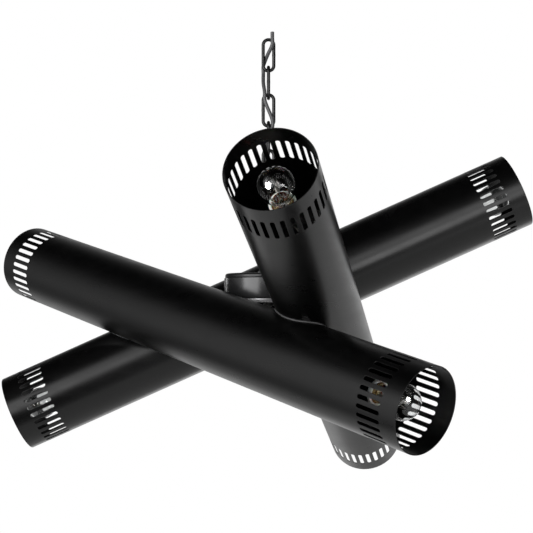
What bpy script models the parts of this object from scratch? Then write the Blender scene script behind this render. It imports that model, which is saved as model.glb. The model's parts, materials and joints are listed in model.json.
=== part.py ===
"""Pool table lamp: three open steel tubes crossed like pick-up sticks, hung from
a short chain by a central hub drum, with a globe bulb in each of the six tube ends.

Frame: metres, +Z up, +X to the right, +Y to the back. The origin is the inner
crown of the top chain link, where a ceiling hook carries the lamp, so everything
hangs in -Z.
"""

import math

import bmesh
import bpy
from mathutils import Matrix, Vector

MM = 0.001
GAP = 0.4 * MM                     # clearance between neighbouring solids
ORIGIN = Matrix.Identity(4)

# ---------------------------------------------------------------- driving sizes
# Tubes.
TUBE_R = 60.0 * MM                 # outside
TUBE_WALL = 1.2 * MM
TUBE_HALF = 439.0 * MM             # half length
TUBE_SIDES = 60                    # every second flat carries a slot
SLOT_START = 27.5 * MM             # from the tube's mouth
SLOT_END = 67.5 * MM
COPE_R = TUBE_R + GAP + 0.2 * MM   # of the hollows cut around a tube

# Where each tube lies: centre (mm), heading and rise of its axis (degrees). "slot"
# and "wire_side" are the angles of its first slot and of its wiring about the axis
# (degrees from the tube's upper side). The mouths are at the axis's tail and head.
TUBES = {
    "front": {"centre": (-101.1, -50.87, -438.26), "heading": -44.858, "rise": -13.983,
              "slot": 3.14, "wire_side": 180.0, "mouths": ("left_far", "right_near")},
    "rear": {"centre": (-1.5, 106.11, -400.6), "heading": -0.3, "rise": 24.094,
             "slot": -5.47, "wire_side": 180.0, "mouths": ("left_low", "right_high")},
    "side": {"centre": (86.4, -63.61, -440.36), "heading": 77.505, "rise": -26.536,
             "slot": -2.16, "wire_side": 120.0, "mouths": ("near_high", "far_low")},
}

# Chain: links of round wire, each turned a quarter turn from the last.
LINKS = 7
LINK_PITCH = 42.8 * MM
LINK_WIRE_R = 2.6 * MM
LINK_INNER_HALF = 6.1 * MM         # half the opening's width
LINK_ARC_SEGMENTS = 5
# Wire axis to the flat of its octagon, halfway along a straight piece of a bend.
WIRE_FLAT = LINK_WIRE_R * math.cos(math.pi / 8) * math.cos(math.pi / LINK_ARC_SEGMENTS / 2)

# Mains cord woven down the chain.
CORD_R = 2.85 * MM
CORD_OFF = 5.9 * MM                # cord axis from each link's plane at a crossing
CORD_TOP = 14.0 * MM
CORD_HALF_RUN = 5.5 * MM           # half the straight run at a crossing
CORD_ENTRY_X, CORD_ENTRY_Y = 22.0 * MM, -8.0 * MM    # where it enters the hub lid

# Hub: a lid, a drum and a base plate. The lid's outline is (radius, height), mm.
LID_OUTLINE = [
    (0.0, -358.6), (60.5, -358.6), (64.4, -359.8), (66.4, -362.2), (66.6, -365.5),
    (64.2, -365.5), (63.6, -362.4), (60.5, -361.4), (0.0, -361.4),
]
HUB_TOP = max(height for _, height in LID_OUTLINE) * MM
LID_BOTTOM = min(height for _, height in LID_OUTLINE) * MM
HUB_R = 68.0 * MM
HUB_STEPS = 32
DRUM_TOP = LID_BOTTOM - GAP
DRUM_BOTTOM = -396.6 * MM
DRUM_WALL = 2.0 * MM
FLANGE_WIDTH = 7.0 * MM            # turned in at the foot of the drum
PLATE_RAISED_R = 63.5 * MM         # the plate's raised middle
PLATE_STEP = -399.3 * MM
PLATE_BOTTOM = -402.5 * MM
PLATE_BEVEL = 0.6 * MM

# Nipple through the hub's middle, and its nut.
NIPPLE_R = 4.9 * MM
NIPPLE_BORE_R = 3.2 * MM
NIPPLE_TOP, NIPPLE_BOTTOM = -338.0 * MM, -409.5 * MM
NIPPLE_HOLE_R = 5.5 * MM
LOCK_NUT_R = 9.5 * MM              # across corners
LOCK_NUT_HEIGHT = 5.0 * MM

# Bushing around the cord in the lid.
CORD_HOLE_R = 5.2 * MM
BUSHING_HEAD_R, BUSHING_HEAD_HEIGHT = 6.6 * MM, 3.0 * MM
BUSHING_R, BUSHING_DROP = 4.7 * MM, 5.5 * MM
BUSHING_BORE_R = 3.3 * MM

# Hanging loop on top of the hub.
RING_R = 13.0 * MM
RING_WIRE_R = 3.0 * MM
RING_STEPS, RING_SIDES = 20, 8

# Wire holes from the hub into the tubes, and the wires through them.
WIRE_HOLE_R = 5.0 * MM
WIRE_HOLE_REACH = 56.0 * MM        # front and side holes from the hub's axis
WIRE_HOLE_Z = -415.0 * MM
WIRE_DRILL_Z = -417.0 * MM
REAR_HOLE_RISE = 16.0 * MM         # above the rear tube's axis
HARNESS_R = 1.6 * MM
HARNESS_REACH = 55.0 * MM          # wires from the tube's axis
HARNESS_BEND = 8.0 * MM
HARNESS_SPREAD = 2.3 * MM          # either side of a wire hole's axis

# Lamp holders and bulbs: outlines are (radius, depth behind the tube's mouth), mm.
TURN_STEPS = 12
SOCKET_OUTLINE = [
    (0, 109), (14.6, 109), (14.6, 81), (15.4, 80), (17.4, 80), (18.4, 81.3),
    (18.4, 92), (16.5, 114), (0, 114),
]
SHELL_OUTLINE = [(14.1, 82), (14.1, 106), (13.65, 106), (13.65, 82)]
CAP_OUTLINE = [
    (0, 99.5), (5, 99.5), (12.6, 96.5), (12.6, 74.5), (13.05, 74.5),
    (13.05, 97.5), (6, 102.5), (4, 103), (4, 105), (0, 105),
]
GLOBE_NECK = [(12.6, 67), (12.2, 73), (12.2, 86)]
SOCKET_BACK = max(depth for _, depth in SOCKET_OUTLINE) * MM
GLOBE_R = 25.0 * MM
GLOBE_DEPTH = 40.0 * MM            # globe centre behind the mouth
GLOBE_ARC = math.radians(146.0)    # from the pole to the neck
GLOBE_ARC_STEPS = 5
GLASS_WALL = 0.7 * MM
FILAMENT_R = 0.5 * MM
# Filament path: (local x, depth behind the mouth), mm.
FILAMENT_PATH = [
    (-2.5, 94), (-2.5, 60), (-9, 50), (-7, 34), (-3.5, 48), (0, 33),
    (3.5, 48), (7, 34), (9, 50), (2.5, 60), (2.5, 94),
]

# Bent strap behind each lamp holder.
STRAP_HALF_LENGTH = 56.8 * MM
STRAP_HALF_WIDTH = 9.0 * MM
STRAP_FOOT = 13.0 * MM
STRAP_THICKNESS = 1.6 * MM
STRAP_EYE_R = 5.0 * MM


# ---------------------------------------------------------------------- scaffold
for old in list(bpy.data.objects):
    bpy.data.objects.remove(old, do_unlink=True)

lamp = bpy.data.collections.new("pool_table_lamp")
cutters = bpy.data.collections.new("cutters")
bpy.context.scene.collection.children.link(lamp)
bpy.context.scene.collection.children.link(cutters)

WORLD = {}                         # object name -> world matrix


def shift(x, y, z):
    return Matrix.Translation((x, y, z))


def rotation(degrees, axis):
    return Matrix.Rotation(math.radians(degrees), 4, axis)


def place(obj, matrix, parent=None, material=None, collection=lamp):
    """Link an object, parent it and give it a world matrix."""
    collection.objects.link(obj)
    WORLD[obj.name] = matrix.copy()
    if parent is not None:
        obj.parent = parent
        obj.matrix_parent_inverse = Matrix.Identity(4)
        matrix = WORLD[parent.name].inverted() @ matrix
    obj.matrix_basis = matrix
    if material is not None:
        obj.data.materials.append(MATERIALS[material])
    return obj


def place_empty(name, matrix, parent):
    obj = bpy.data.objects.new(name, None)
    obj.empty_display_size = 0.02
    return place(obj, matrix, parent)


def place_cutter(obj, matrix):
    place(obj, matrix, collection=cutters)
    obj.hide_render = True
    obj.display_type = "WIRE"
    return obj


def boolean(obj, *others, operation="DIFFERENCE"):
    for other in others:
        modifier = obj.modifiers.new(operation.title() + "_" + other.name, "BOOLEAN")
        modifier.operation = operation
        modifier.solver = "EXACT"
        modifier.object = other


def mesh_object(name, bm, sharp_degrees=35):
    """Turn a bmesh into a smooth shaded object, sharp at steeper edges."""
    mesh = bpy.data.meshes.new(name)
    bm.to_mesh(mesh)
    bm.free()
    mesh.shade_smooth()
    mesh.set_sharp_from_angle(angle=math.radians(sharp_degrees))
    return bpy.data.objects.new(name, mesh)


def metres(outline):
    """Outline points (radius, height) from millimetres."""
    return [(radius * MM, height * MM) for radius, height in outline]


def behind_mouth(outline):
    """Outline points (radius, depth) in millimetres as (radius, height) in metres."""
    return [(radius * MM, -depth * MM) for radius, depth in outline]


def turned(name, profile, steps=TURN_STEPS, closed=False):
    """A turned solid from profile points (radius, height)."""
    bm = bmesh.new()
    verts = [bm.verts.new((radius, 0.0, height)) for radius, height in profile]
    for start, end in zip(verts[:-1], verts[1:]):
        bm.edges.new((start, end))
    if closed:
        bm.edges.new((verts[-1], verts[0]))
    obj = mesh_object(name, bm)
    screw = obj.modifiers.new("Turn", "SCREW")
    screw.axis = "Z"
    screw.angle = math.tau
    screw.steps = screw.render_steps = steps
    screw.use_merge_vertices = True
    screw.merge_threshold = 0.00001
    screw.use_smooth_shade = True
    return obj


def cylinder(name, radius, depth, segments):
    """A plain cylinder, centred, axis Z."""
    bm = bmesh.new()
    bmesh.ops.create_cone(bm, cap_ends=True, cap_tris=False, segments=segments,
                          radius1=radius, radius2=radius, depth=depth)
    return mesh_object(name, bm)


def wire(name, points, radius, resolution, cyclic=False, tilt=0.0):
    """A round wire through points, as a poly curve with a bevel."""
    curve = bpy.data.curves.new(name, "CURVE")
    curve.dimensions = "3D"
    curve.resolution_u = 1
    curve.render_resolution_u = 0
    curve.bevel_depth = radius
    curve.bevel_resolution = resolution
    curve.use_fill_caps = True
    curve.twist_mode = "Z_UP" if cyclic else "MINIMUM"
    spline = curve.splines.new("POLY")
    spline.points.add(len(points) - 1)
    for spline_point, point in zip(spline.points, points):
        spline_point.co = (*point, 1.0)
        spline_point.tilt = tilt
    spline.use_cyclic_u = cyclic
    spline.use_smooth = True
    return bpy.data.objects.new(name, curve)


def chamfered(points, setback):
    """Cut each inner corner of a path straight across, short of the leg middles."""
    path = [points[0]]
    for before, corner, after in zip(points[:-2], points[1:-1], points[2:]):
        back = before - corner
        ahead = after - corner
        length = min(setback, back.length * 0.45, ahead.length * 0.45)
        path.append(corner + back.normalized() * length)
        path.append(corner + ahead.normalized() * length)
    path.append(points[-1])
    return path


# --------------------------------------------------------------------- materials
def principled(name, colour, roughness, metallic=0.0, transmission=0.0):
    material = bpy.data.materials.new(name)
    material.use_nodes = True
    shader = material.node_tree.nodes["Principled BSDF"]
    shader.inputs["Base Color"].default_value = (*colour, 1.0)
    shader.inputs["Roughness"].default_value = roughness
    shader.inputs["Metallic"].default_value = metallic
    shader.inputs["Transmission Weight"].default_value = transmission
    material.diffuse_color = (*colour, 1.0)
    return material


TUBE_BLACK = (0.022, 0.022, 0.024)
MATERIALS = {
    "tube_front": principled("satin black tube, front", TUBE_BLACK, roughness=0.42, metallic=0.1),
    "tube_rear": principled("satin black tube, rear", TUBE_BLACK, roughness=0.44, metallic=0.1),
    "tube_side": principled("satin black tube, side", TUBE_BLACK, roughness=0.43, metallic=0.1),
    "chain": principled("chain black", (0.02, 0.02, 0.02), roughness=0.4, metallic=0.4),
    "cord": principled("cord dark grey", (0.05, 0.05, 0.052), roughness=0.8),
    "hub": principled("hub satin black", (0.03, 0.03, 0.031), roughness=0.38, metallic=0.1),
    "lid": principled("hub lid satin black", (0.035, 0.035, 0.036), roughness=0.38, metallic=0.1),
    "plate": principled("hub plate grey", (0.10, 0.10, 0.10), roughness=0.4, metallic=0.4),
    "loop": principled("loop black", (0.025, 0.025, 0.025), roughness=0.4, metallic=0.3),
    "zinc": principled("zinc plated", (0.55, 0.55, 0.53), roughness=0.35, metallic=1.0),
    "strap": principled("strap black steel", (0.02, 0.02, 0.02), roughness=0.5, metallic=0.1),
    "brass": principled("brass", (0.62, 0.45, 0.20), roughness=0.3, metallic=1.0),
    "copper": principled("copper shell", (0.72, 0.33, 0.17), roughness=0.3, metallic=1.0),
    "porcelain": principled("porcelain white", (0.86, 0.85, 0.82), roughness=0.2),
    "glass": principled("clear glass", (0.95, 0.97, 0.97), roughness=0.02, transmission=1.0),
    "filament": principled("filament wire", (0.35, 0.33, 0.30), roughness=0.4, metallic=1.0),
    "wires": principled("heat sleeved wires", (0.75, 0.73, 0.68), roughness=0.8),
    "nut": principled("wire nut", (0.80, 0.30, 0.06), roughness=0.5),
    "bushing": principled("bushing", (0.03, 0.03, 0.03), roughness=0.6),
}


# ------------------------------------------------------------------------- chain
def link_crown(k):
    """Height of link k's inner top crown."""
    return -(k - 1) * LINK_PITCH


def link_pivot(k):
    """Where link k turns: the wire centre of the link above, or its own crown."""
    if k == 1:
        return Vector((0.0, 0.0, 0.0))
    return Vector((0.0, 0.0, link_crown(k) - GAP - WIRE_FLAT))


def link_points(k):
    """The loop of wire axis points of link k, as (across, height)."""
    bend_r = LINK_INNER_HALF + WIRE_FLAT
    apothem = bend_r * math.cos(math.pi / LINK_ARC_SEGMENTS / 2)
    inner_length = LINK_PITCH + GAP
    upper_centre = link_crown(k) + WIRE_FLAT - apothem
    lower_centre = link_crown(k) - inner_length - WIRE_FLAT + apothem
    points = []
    for start, centre in ((0.0, upper_centre), (math.pi, lower_centre)):
        for i in range(LINK_ARC_SEGMENTS + 1):
            angle = start + math.pi * i / LINK_ARC_SEGMENTS
            points.append((bend_r * math.cos(angle), centre + bend_r * math.sin(angle)))
    return points


def build_chain():
    """Hang each link on the one above; odd links lie in the XZ plane, even in YZ."""
    link = None
    for k in range(1, LINKS + 1):
        pivot = link_pivot(k)
        stand = rotation(90.0, "X")
        if k % 2 == 0:
            stand = rotation(90.0, "Z") @ stand
        points = [(x, height - pivot.z, 0.0) for x, height in link_points(k)]
        loop = wire(f"chain_link_{k}", points, LINK_WIRE_R, 2, cyclic=True, tilt=math.pi / 8)
        link = place(loop, Matrix.Translation(pivot) @ stand, link, "chain")
    return link


last_link = build_chain()
# The lamp turns on the lower crown of the last link.
lamp_frame = place_empty("lamp_pivot", Matrix.Translation(link_pivot(LINKS + 1)), last_link)

# -------------------------------------------------------------------------- cord
# The corner between two crowns in which the cord lies at each crossing, from the
# top down, as (x, y) in units of CORD_OFF.
CORD_CORNERS = [
    (1, -1), (-1.35, 1), (-1, -1), (1, -1), (-1, 1), (1, 1), (-1, -1), (1.1, -1),
]


def build_cord():
    path = [Vector((CORD_OFF, -CORD_OFF, CORD_TOP))]
    for k, (corner_x, corner_y) in enumerate(CORD_CORNERS):
        crossing = -k * LINK_PITCH - GAP / 2
        x = corner_x * CORD_OFF
        y = corner_y * CORD_OFF
        path.append(Vector((x, y, crossing + CORD_HALF_RUN)))
        path.append(Vector((x, y, crossing - CORD_HALF_RUN)))
        if k == 0:                 # through the first link, then behind it
            path.append(Vector((-1.0 * MM, 0.0, crossing - 20 * MM)))
            path.append(Vector((-CORD_OFF, CORD_OFF, crossing - 31 * MM)))
        if k == 1:                 # stands off beside the second link
            path.append(Vector((x, 0.0, crossing - LINK_PITCH / 2)))
    path += [                      # over to the lid, down through it and aside
        Vector((9.5 * MM, -6.5 * MM, -318 * MM)),
        Vector((CORD_ENTRY_X - 3.5 * MM, CORD_ENTRY_Y + 0.5 * MM, -338 * MM)),
        Vector((CORD_ENTRY_X, CORD_ENTRY_Y, -350 * MM)),
        Vector((CORD_ENTRY_X, CORD_ENTRY_Y, -372 * MM)),
        Vector((CORD_ENTRY_X - 4 * MM, CORD_ENTRY_Y + 8 * MM, -381 * MM)),
    ]
    place(wire("power_cord", path, CORD_R, 1), ORIGIN, None, "cord")


build_cord()


# ------------------------------------------------------- tube frames and cutters
def tube_matrix(spec):
    """Local Z runs along the tube, local X is the upward side."""
    heading = math.radians(spec["heading"])
    rise = math.radians(spec["rise"])
    level = Vector((math.cos(heading), math.sin(heading), 0.0))
    axis = Vector((math.cos(rise) * level.x, math.cos(rise) * level.y, math.sin(rise)))
    up = Vector((-math.sin(rise) * level.x, -math.sin(rise) * level.y, math.cos(rise)))
    turn = Matrix((up, axis.cross(up), axis)).transposed().to_4x4()
    return Matrix.Translation(Vector(spec["centre"]) * MM) @ turn


def tube_axis(frame):
    return frame.to_3x3() @ Vector((0.0, 0.0, 1.0))


def nearest_to_hub(frame):
    """The tube axis point that passes nearest the hub's vertical axis."""
    centre = frame.translation
    axis = tube_axis(frame)
    along = -(centre.x * axis.x + centre.y * axis.y) / (axis.x ** 2 + axis.y ** 2)
    return centre + axis * along


def wire_hole(key):
    """Where a tube's wires pass: under the hub plate, or at the rear tube's near side."""
    near = nearest_to_hub(FRAMES[key])
    if key == "rear":
        return Vector((near.x, near.y - TUBE_R, near.z + REAR_HOLE_RISE))
    reach = Vector((near.x, near.y, 0.0)).normalized() * WIRE_HOLE_REACH
    return Vector((reach.x, reach.y, WIRE_HOLE_Z))


def wire_drill(key):
    """Cutter of a wire hole: level along Y for the rear tube, upright for the others."""
    hole = HOLES[key]
    if key == "rear":
        length = 24 * MM
        matrix = Matrix.Translation(hole) @ rotation(90.0, "X")
    else:
        length = 44 * MM
        matrix = shift(hole.x, hole.y, WIRE_DRILL_Z)
    return place_cutter(cylinder(f"drill_{key}", WIRE_HOLE_R, length, 16), matrix)


def clearance(key):
    """Cutter around a whole tube, for the copes of what meets it."""
    return place_cutter(cylinder(f"clear_{key}", COPE_R, 2.2 * TUBE_HALF, 96), FRAMES[key])


FRAMES = {key: tube_matrix(spec) for key, spec in TUBES.items()}
HOLES = {key: wire_hole(key) for key in TUBES}
CLEAR = {key: clearance(key) for key in TUBES}
DRILLS = {key: wire_drill(key) for key in TUBES}


# ------------------------------------------------------------------------- tubes
def slotted_tube(name, slot_degrees):
    """An open tube with a ring of slots near each mouth, as a skin to thicken."""
    bm = bmesh.new()
    bmesh.ops.create_cone(bm, cap_ends=False, segments=TUBE_SIDES, radius1=TUBE_R,
                          radius2=TUBE_R, depth=2 * TUBE_HALF)
    # Turn the middle of a flat to the slot angle.
    slot_angle = math.radians(slot_degrees)
    step = math.tau / TUBE_SIDES
    first = min(math.atan2(vert.co.y, vert.co.x) % step for vert in bm.verts)
    bmesh.ops.rotate(bm, verts=bm.verts, cent=(0, 0, 0),
                     matrix=Matrix.Rotation(slot_angle - step / 2 - first, 3, "Z"))
    for depth in (SLOT_START, SLOT_END):
        for sign in (-1, 1):
            bmesh.ops.bisect_plane(bm, geom=bm.verts[:] + bm.edges[:] + bm.faces[:], dist=1e-7,
                                   plane_co=(0, 0, sign * (TUBE_HALF - depth)), plane_no=(0, 0, 1))
    openings = []
    for face in bm.faces:
        middle = face.calc_center_median()
        if SLOT_START < TUBE_HALF - abs(middle.z) < SLOT_END:
            flat = (math.atan2(middle.y, middle.x) - slot_angle) / step
            if round(flat) % 2 == 0:
                openings.append(face)
    bmesh.ops.delete(bm, geom=openings, context="FACES")
    obj = mesh_object(name, bm, sharp_degrees=30)
    skin = obj.modifiers.new("Wall", "SOLIDIFY")
    skin.thickness = TUBE_WALL
    skin.offset = -1.0
    skin.use_even_offset = True
    skin.use_rim = True
    return obj


def build_tube(key):
    """A tube under an empty on its axis; returns the empty."""
    axis = place_empty(f"tube_{key}_axis", FRAMES[key], lamp_frame)
    tube = slotted_tube(f"tube_{key}", TUBES[key]["slot"])
    place(tube, FRAMES[key], axis, f"tube_{key}")
    if key != "front":             # coped around the front tube
        boolean(tube, CLEAR["front"])
    boolean(tube, DRILLS[key])
    return axis


AXES = {key: build_tube(key) for key in TUBES}

# ----------------------------------------------------------------------- the hub
# Outlines: (radius, height), mm.
NECK_OUTLINE = [
    (0.0, -321.0), (4.6, -321.6), (6.0, -326.0), (6.4, -331.0), (10.0, -335.5),
    (11.0, -341.0), (9.0, -346.5), (12.0, -352.0), (16.0, -355.8), (16.0, -358.2),
    (5.6, -358.2), (5.6, -336.0), (0.0, -336.0),
]
WIRE_NUT_OUTLINE = [
    (0.0, 9.0), (3.2, 8.6), (5.0, 2.0), (6.6, -8.0), (4.6, -8.0), (3.4, 2.0), (0.0, 3.0),
]
WIRE_NUT_PLACES = [(-26.0, 14.0), (-10.0, 28.0)]      # (x, y), mm
WIRE_NUT_Z = -381.0 * MM


def build_hang_loop():
    """A turned neck joined to a ring that stands in the YZ plane."""
    rim = []
    for i in reversed(range(RING_SIDES)):
        angle = math.tau * i / RING_SIDES
        rim.append((RING_R + RING_WIRE_R * math.cos(angle), RING_WIRE_R * math.sin(angle)))
    ring = turned("loop_ring", rim, RING_STEPS, closed=True)
    ring_z = link_crown(LINKS + 1) - (RING_R - RING_WIRE_R)
    place_cutter(ring, shift(0.0, 0.0, ring_z) @ rotation(90.0, "Y"))
    neck = place(turned("hang_loop", metres(NECK_OUTLINE), 16), ORIGIN, lamp_frame, "loop")
    boolean(neck, ring, operation="UNION")


def build_lid(centre_hole):
    cord_hole = place_cutter(cylinder("cord_hole", CORD_HOLE_R, 16 * MM, 16),
                             shift(CORD_ENTRY_X, CORD_ENTRY_Y, HUB_TOP))
    lid = turned("hub_lid", metres(LID_OUTLINE), HUB_STEPS)
    place(lid, ORIGIN, lamp_frame, "lid")
    boolean(lid, centre_hole, cord_hole, CLEAR["rear"])


def build_drum():
    """An open ring wall with a flange turned in at its foot."""
    wall_in = HUB_R - DRUM_WALL
    flange_in = wall_in - FLANGE_WIDTH
    flange_top = DRUM_BOTTOM + DRUM_WALL
    profile = [(HUB_R, DRUM_TOP), (HUB_R, DRUM_BOTTOM), (flange_in, DRUM_BOTTOM),
               (flange_in, flange_top), (wall_in, flange_top), (wall_in, DRUM_TOP)]
    drum = turned("hub_drum", profile, HUB_STEPS, closed=True)
    place(drum, ORIGIN, lamp_frame, "hub")
    boolean(drum, CLEAR["rear"], CLEAR["side"], CLEAR["front"])


def build_base_plate(centre_hole):
    top = DRUM_BOTTOM - GAP
    profile = [(0.0, top), (PLATE_RAISED_R, top), (PLATE_RAISED_R, PLATE_STEP),
               (HUB_R, PLATE_STEP), (HUB_R, PLATE_BOTTOM + PLATE_BEVEL),
               (HUB_R - PLATE_BEVEL, PLATE_BOTTOM), (0.0, PLATE_BOTTOM)]
    plate = turned("hub_base_plate", profile, HUB_STEPS)
    place(plate, ORIGIN, lamp_frame, "plate")
    boolean(plate, centre_hole, CLEAR["rear"], CLEAR["side"], CLEAR["front"],
            DRILLS["front"], DRILLS["side"])


def build_nipple(centre_hole):
    """The threaded tube through the hub and the hexagon nut under the plate."""
    profile = [(NIPPLE_R, NIPPLE_TOP), (NIPPLE_R, NIPPLE_BOTTOM),
               (NIPPLE_BORE_R, NIPPLE_BOTTOM), (NIPPLE_BORE_R, NIPPLE_TOP)]
    place(turned("hub_nipple", profile, closed=True), ORIGIN, lamp_frame, "zinc")
    nut = cylinder("hub_lock_nut", LOCK_NUT_R, LOCK_NUT_HEIGHT, 6)
    place(nut, shift(0, 0, PLATE_BOTTOM - GAP - LOCK_NUT_HEIGHT / 2), lamp_frame, "zinc")
    boolean(nut, centre_hole)


def build_bushing():
    head_top = HUB_TOP + BUSHING_HEAD_HEIGHT
    bottom = HUB_TOP - BUSHING_DROP
    profile = [(BUSHING_HEAD_R, head_top), (BUSHING_HEAD_R, HUB_TOP + GAP),
               (BUSHING_R, HUB_TOP + GAP), (BUSHING_R, bottom),
               (BUSHING_BORE_R, bottom), (BUSHING_BORE_R, head_top)]
    place(turned("cord_bushing", profile, closed=True),
          shift(CORD_ENTRY_X, CORD_ENTRY_Y, 0.0), lamp_frame, "bushing")


def build_wire_nuts():
    """Wire nuts standing in the drum, mouths down."""
    for index, (x, y) in enumerate(WIRE_NUT_PLACES, start=1):
        place(turned(f"wire_nut_{index}", metres(WIRE_NUT_OUTLINE), 10),
              shift(x * MM, y * MM, WIRE_NUT_Z), lamp_frame, "nut")


def build_hub():
    build_hang_loop()
    centre_hole = place_cutter(cylinder("hub_centre_hole", NIPPLE_HOLE_R, 60 * MM, 16),
                               shift(0, 0, -385 * MM))
    build_lid(centre_hole)
    build_drum()
    build_base_plate(centre_hole)
    build_nipple(centre_hole)
    build_bushing()
    build_wire_nuts()


build_hub()


# ------------------------------------------------------------ wiring in the tubes
def build_harness(key):
    """Wires from one lamp holder along the tube, up into the drum and back down."""
    frame = FRAMES[key]
    hole = HOLES[key]
    side = math.radians(TUBES[key]["wire_side"])
    axis = tube_axis(frame)
    spread = Vector((axis.x, axis.y, 0.0)).normalized() * HARNESS_SPREAD
    if key == "rear":
        into_tube = Vector((0.0, 1.0, 0.0))
        stations = (17 * MM, -7 * MM, -16 * MM)
    else:
        into_tube = Vector((0.0, 0.0, -1.0))
        stations = (26 * MM, -22 * MM, -34 * MM)
    hole_z = (frame.inverted() @ hole).z
    end = TUBE_HALF - SOCKET_BACK - 0.6 * MM

    def on_wall(z):
        return frame @ Vector((HARNESS_REACH * math.cos(side), HARNESS_REACH * math.sin(side), z))

    def on_axis(z):
        return frame @ Vector((0.0, 0.0, z))

    def half(sign):
        """From the lamp holder at one end to the top of the loop in the drum."""
        return [
            on_axis(sign * end),
            on_axis(sign * (end - 14 * MM)),
            on_wall(sign * (end - 70 * MM)),
            on_wall(hole_z + sign * 45 * MM),
            *(hole + into_tube * station + spread * sign for station in stations),
        ]

    path = half(-1) + half(1)[::-1]
    place(wire(f"wire_harness_{key}", chamfered(path, HARNESS_BEND), HARNESS_R, 0),
          ORIGIN, lamp_frame, "wires")


for key in TUBES:
    build_harness(key)


# --------------------------------------------------- lamp holders and the bulbs
# Each stands in a mouth frame: local Z points out of the tube from its mouth.
def globe_skin(inset):
    """One skin of the glass, from the pole down the neck."""
    radius = GLOBE_R - inset
    skin = []
    for i in range(GLOBE_ARC_STEPS + 1):
        angle = GLOBE_ARC * i / GLOBE_ARC_STEPS
        skin.append((radius * math.sin(angle), -GLOBE_DEPTH + radius * math.cos(angle)))
    return skin + [(neck_r - inset, z) for neck_r, z in behind_mouth(GLOBE_NECK)]


def bent_strap(name):
    """A strip along local X with its ends bent back, away from the mouth."""
    bm = bmesh.new()
    front = -SOCKET_BACK - GAP
    back = front - STRAP_FOOT
    line = [(-STRAP_HALF_LENGTH, back), (-STRAP_HALF_LENGTH, front),
            (STRAP_HALF_LENGTH, front), (STRAP_HALF_LENGTH, back)]
    rows = [[bm.verts.new((x, y, z)) for x, z in line]
            for y in (-STRAP_HALF_WIDTH, STRAP_HALF_WIDTH)]
    for i in range(3):
        bm.faces.new((rows[0][i], rows[0][i + 1], rows[1][i + 1], rows[1][i]))
    obj = mesh_object(name, bm, sharp_degrees=20)
    thick = obj.modifiers.new("Strap", "SOLIDIFY")
    thick.thickness = STRAP_THICKNESS
    thick.offset = -1.0
    thick.use_even_offset = True
    return obj


def build_lamp_holder(end, frame, parent):
    place(turned(f"socket_body_{end}", behind_mouth(SOCKET_OUTLINE)), frame, parent, "porcelain")
    place(turned(f"socket_shell_{end}", behind_mouth(SHELL_OUTLINE), closed=True),
          frame, parent, "copper")
    strap = place(bent_strap(f"socket_bracket_{end}"), frame @ rotation(90.0, "Z"),
                  parent, "strap")
    eye = place_cutter(cylinder(f"strap_eye_{end}", STRAP_EYE_R, 12 * MM, 12),
                       frame @ shift(0, 0, -SOCKET_BACK))
    boolean(strap, eye)


def build_bulb(end, frame, parent):
    """The bulb slides out along its tube from an empty at the mouth."""
    slide = place_empty(f"bulb_{end}_axis", frame, parent)
    glass = globe_skin(0.0) + globe_skin(GLASS_WALL)[::-1]
    place(turned(f"bulb_glass_{end}", glass), frame, slide, "glass")
    place(turned(f"bulb_cap_{end}", behind_mouth(CAP_OUTLINE)), frame, slide, "brass")
    path = [(x, 0.0, z) for x, z in behind_mouth(FILAMENT_PATH)]
    place(wire(f"bulb_filament_{end}", path, FILAMENT_R, 1), frame, slide, "filament")


for key, spec in TUBES.items():
    for mouth, sign in zip(spec["mouths"], (-1, 1)):
        facing = rotation(0.0 if sign > 0 else 180.0, "X")
        mouth_frame = FRAMES[key] @ shift(0, 0, sign * TUBE_HALF) @ facing
        build_lamp_holder(f"{key}_{mouth}", mouth_frame, AXES[key])
        build_bulb(f"{key}_{mouth}", mouth_frame, AXES[key])

bpy.context.view_layer.update()
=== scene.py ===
"""Looks for the pool table lamp: three welded tubes, powder coated, with round-ended slots;
a round wire chain with its cord; the hub, porcelain lamp holders and clear globe bulbs.

Metres, Z up. The chain and hub are centred on the Z axis with the hub about 0.35 m below
the origin; the tubes cross under it and the camera looks along +Y.
"""

import json
import math
import random
from itertools import pairwise

import bmesh
import bpy
from mathutils import Matrix, Vector

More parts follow.
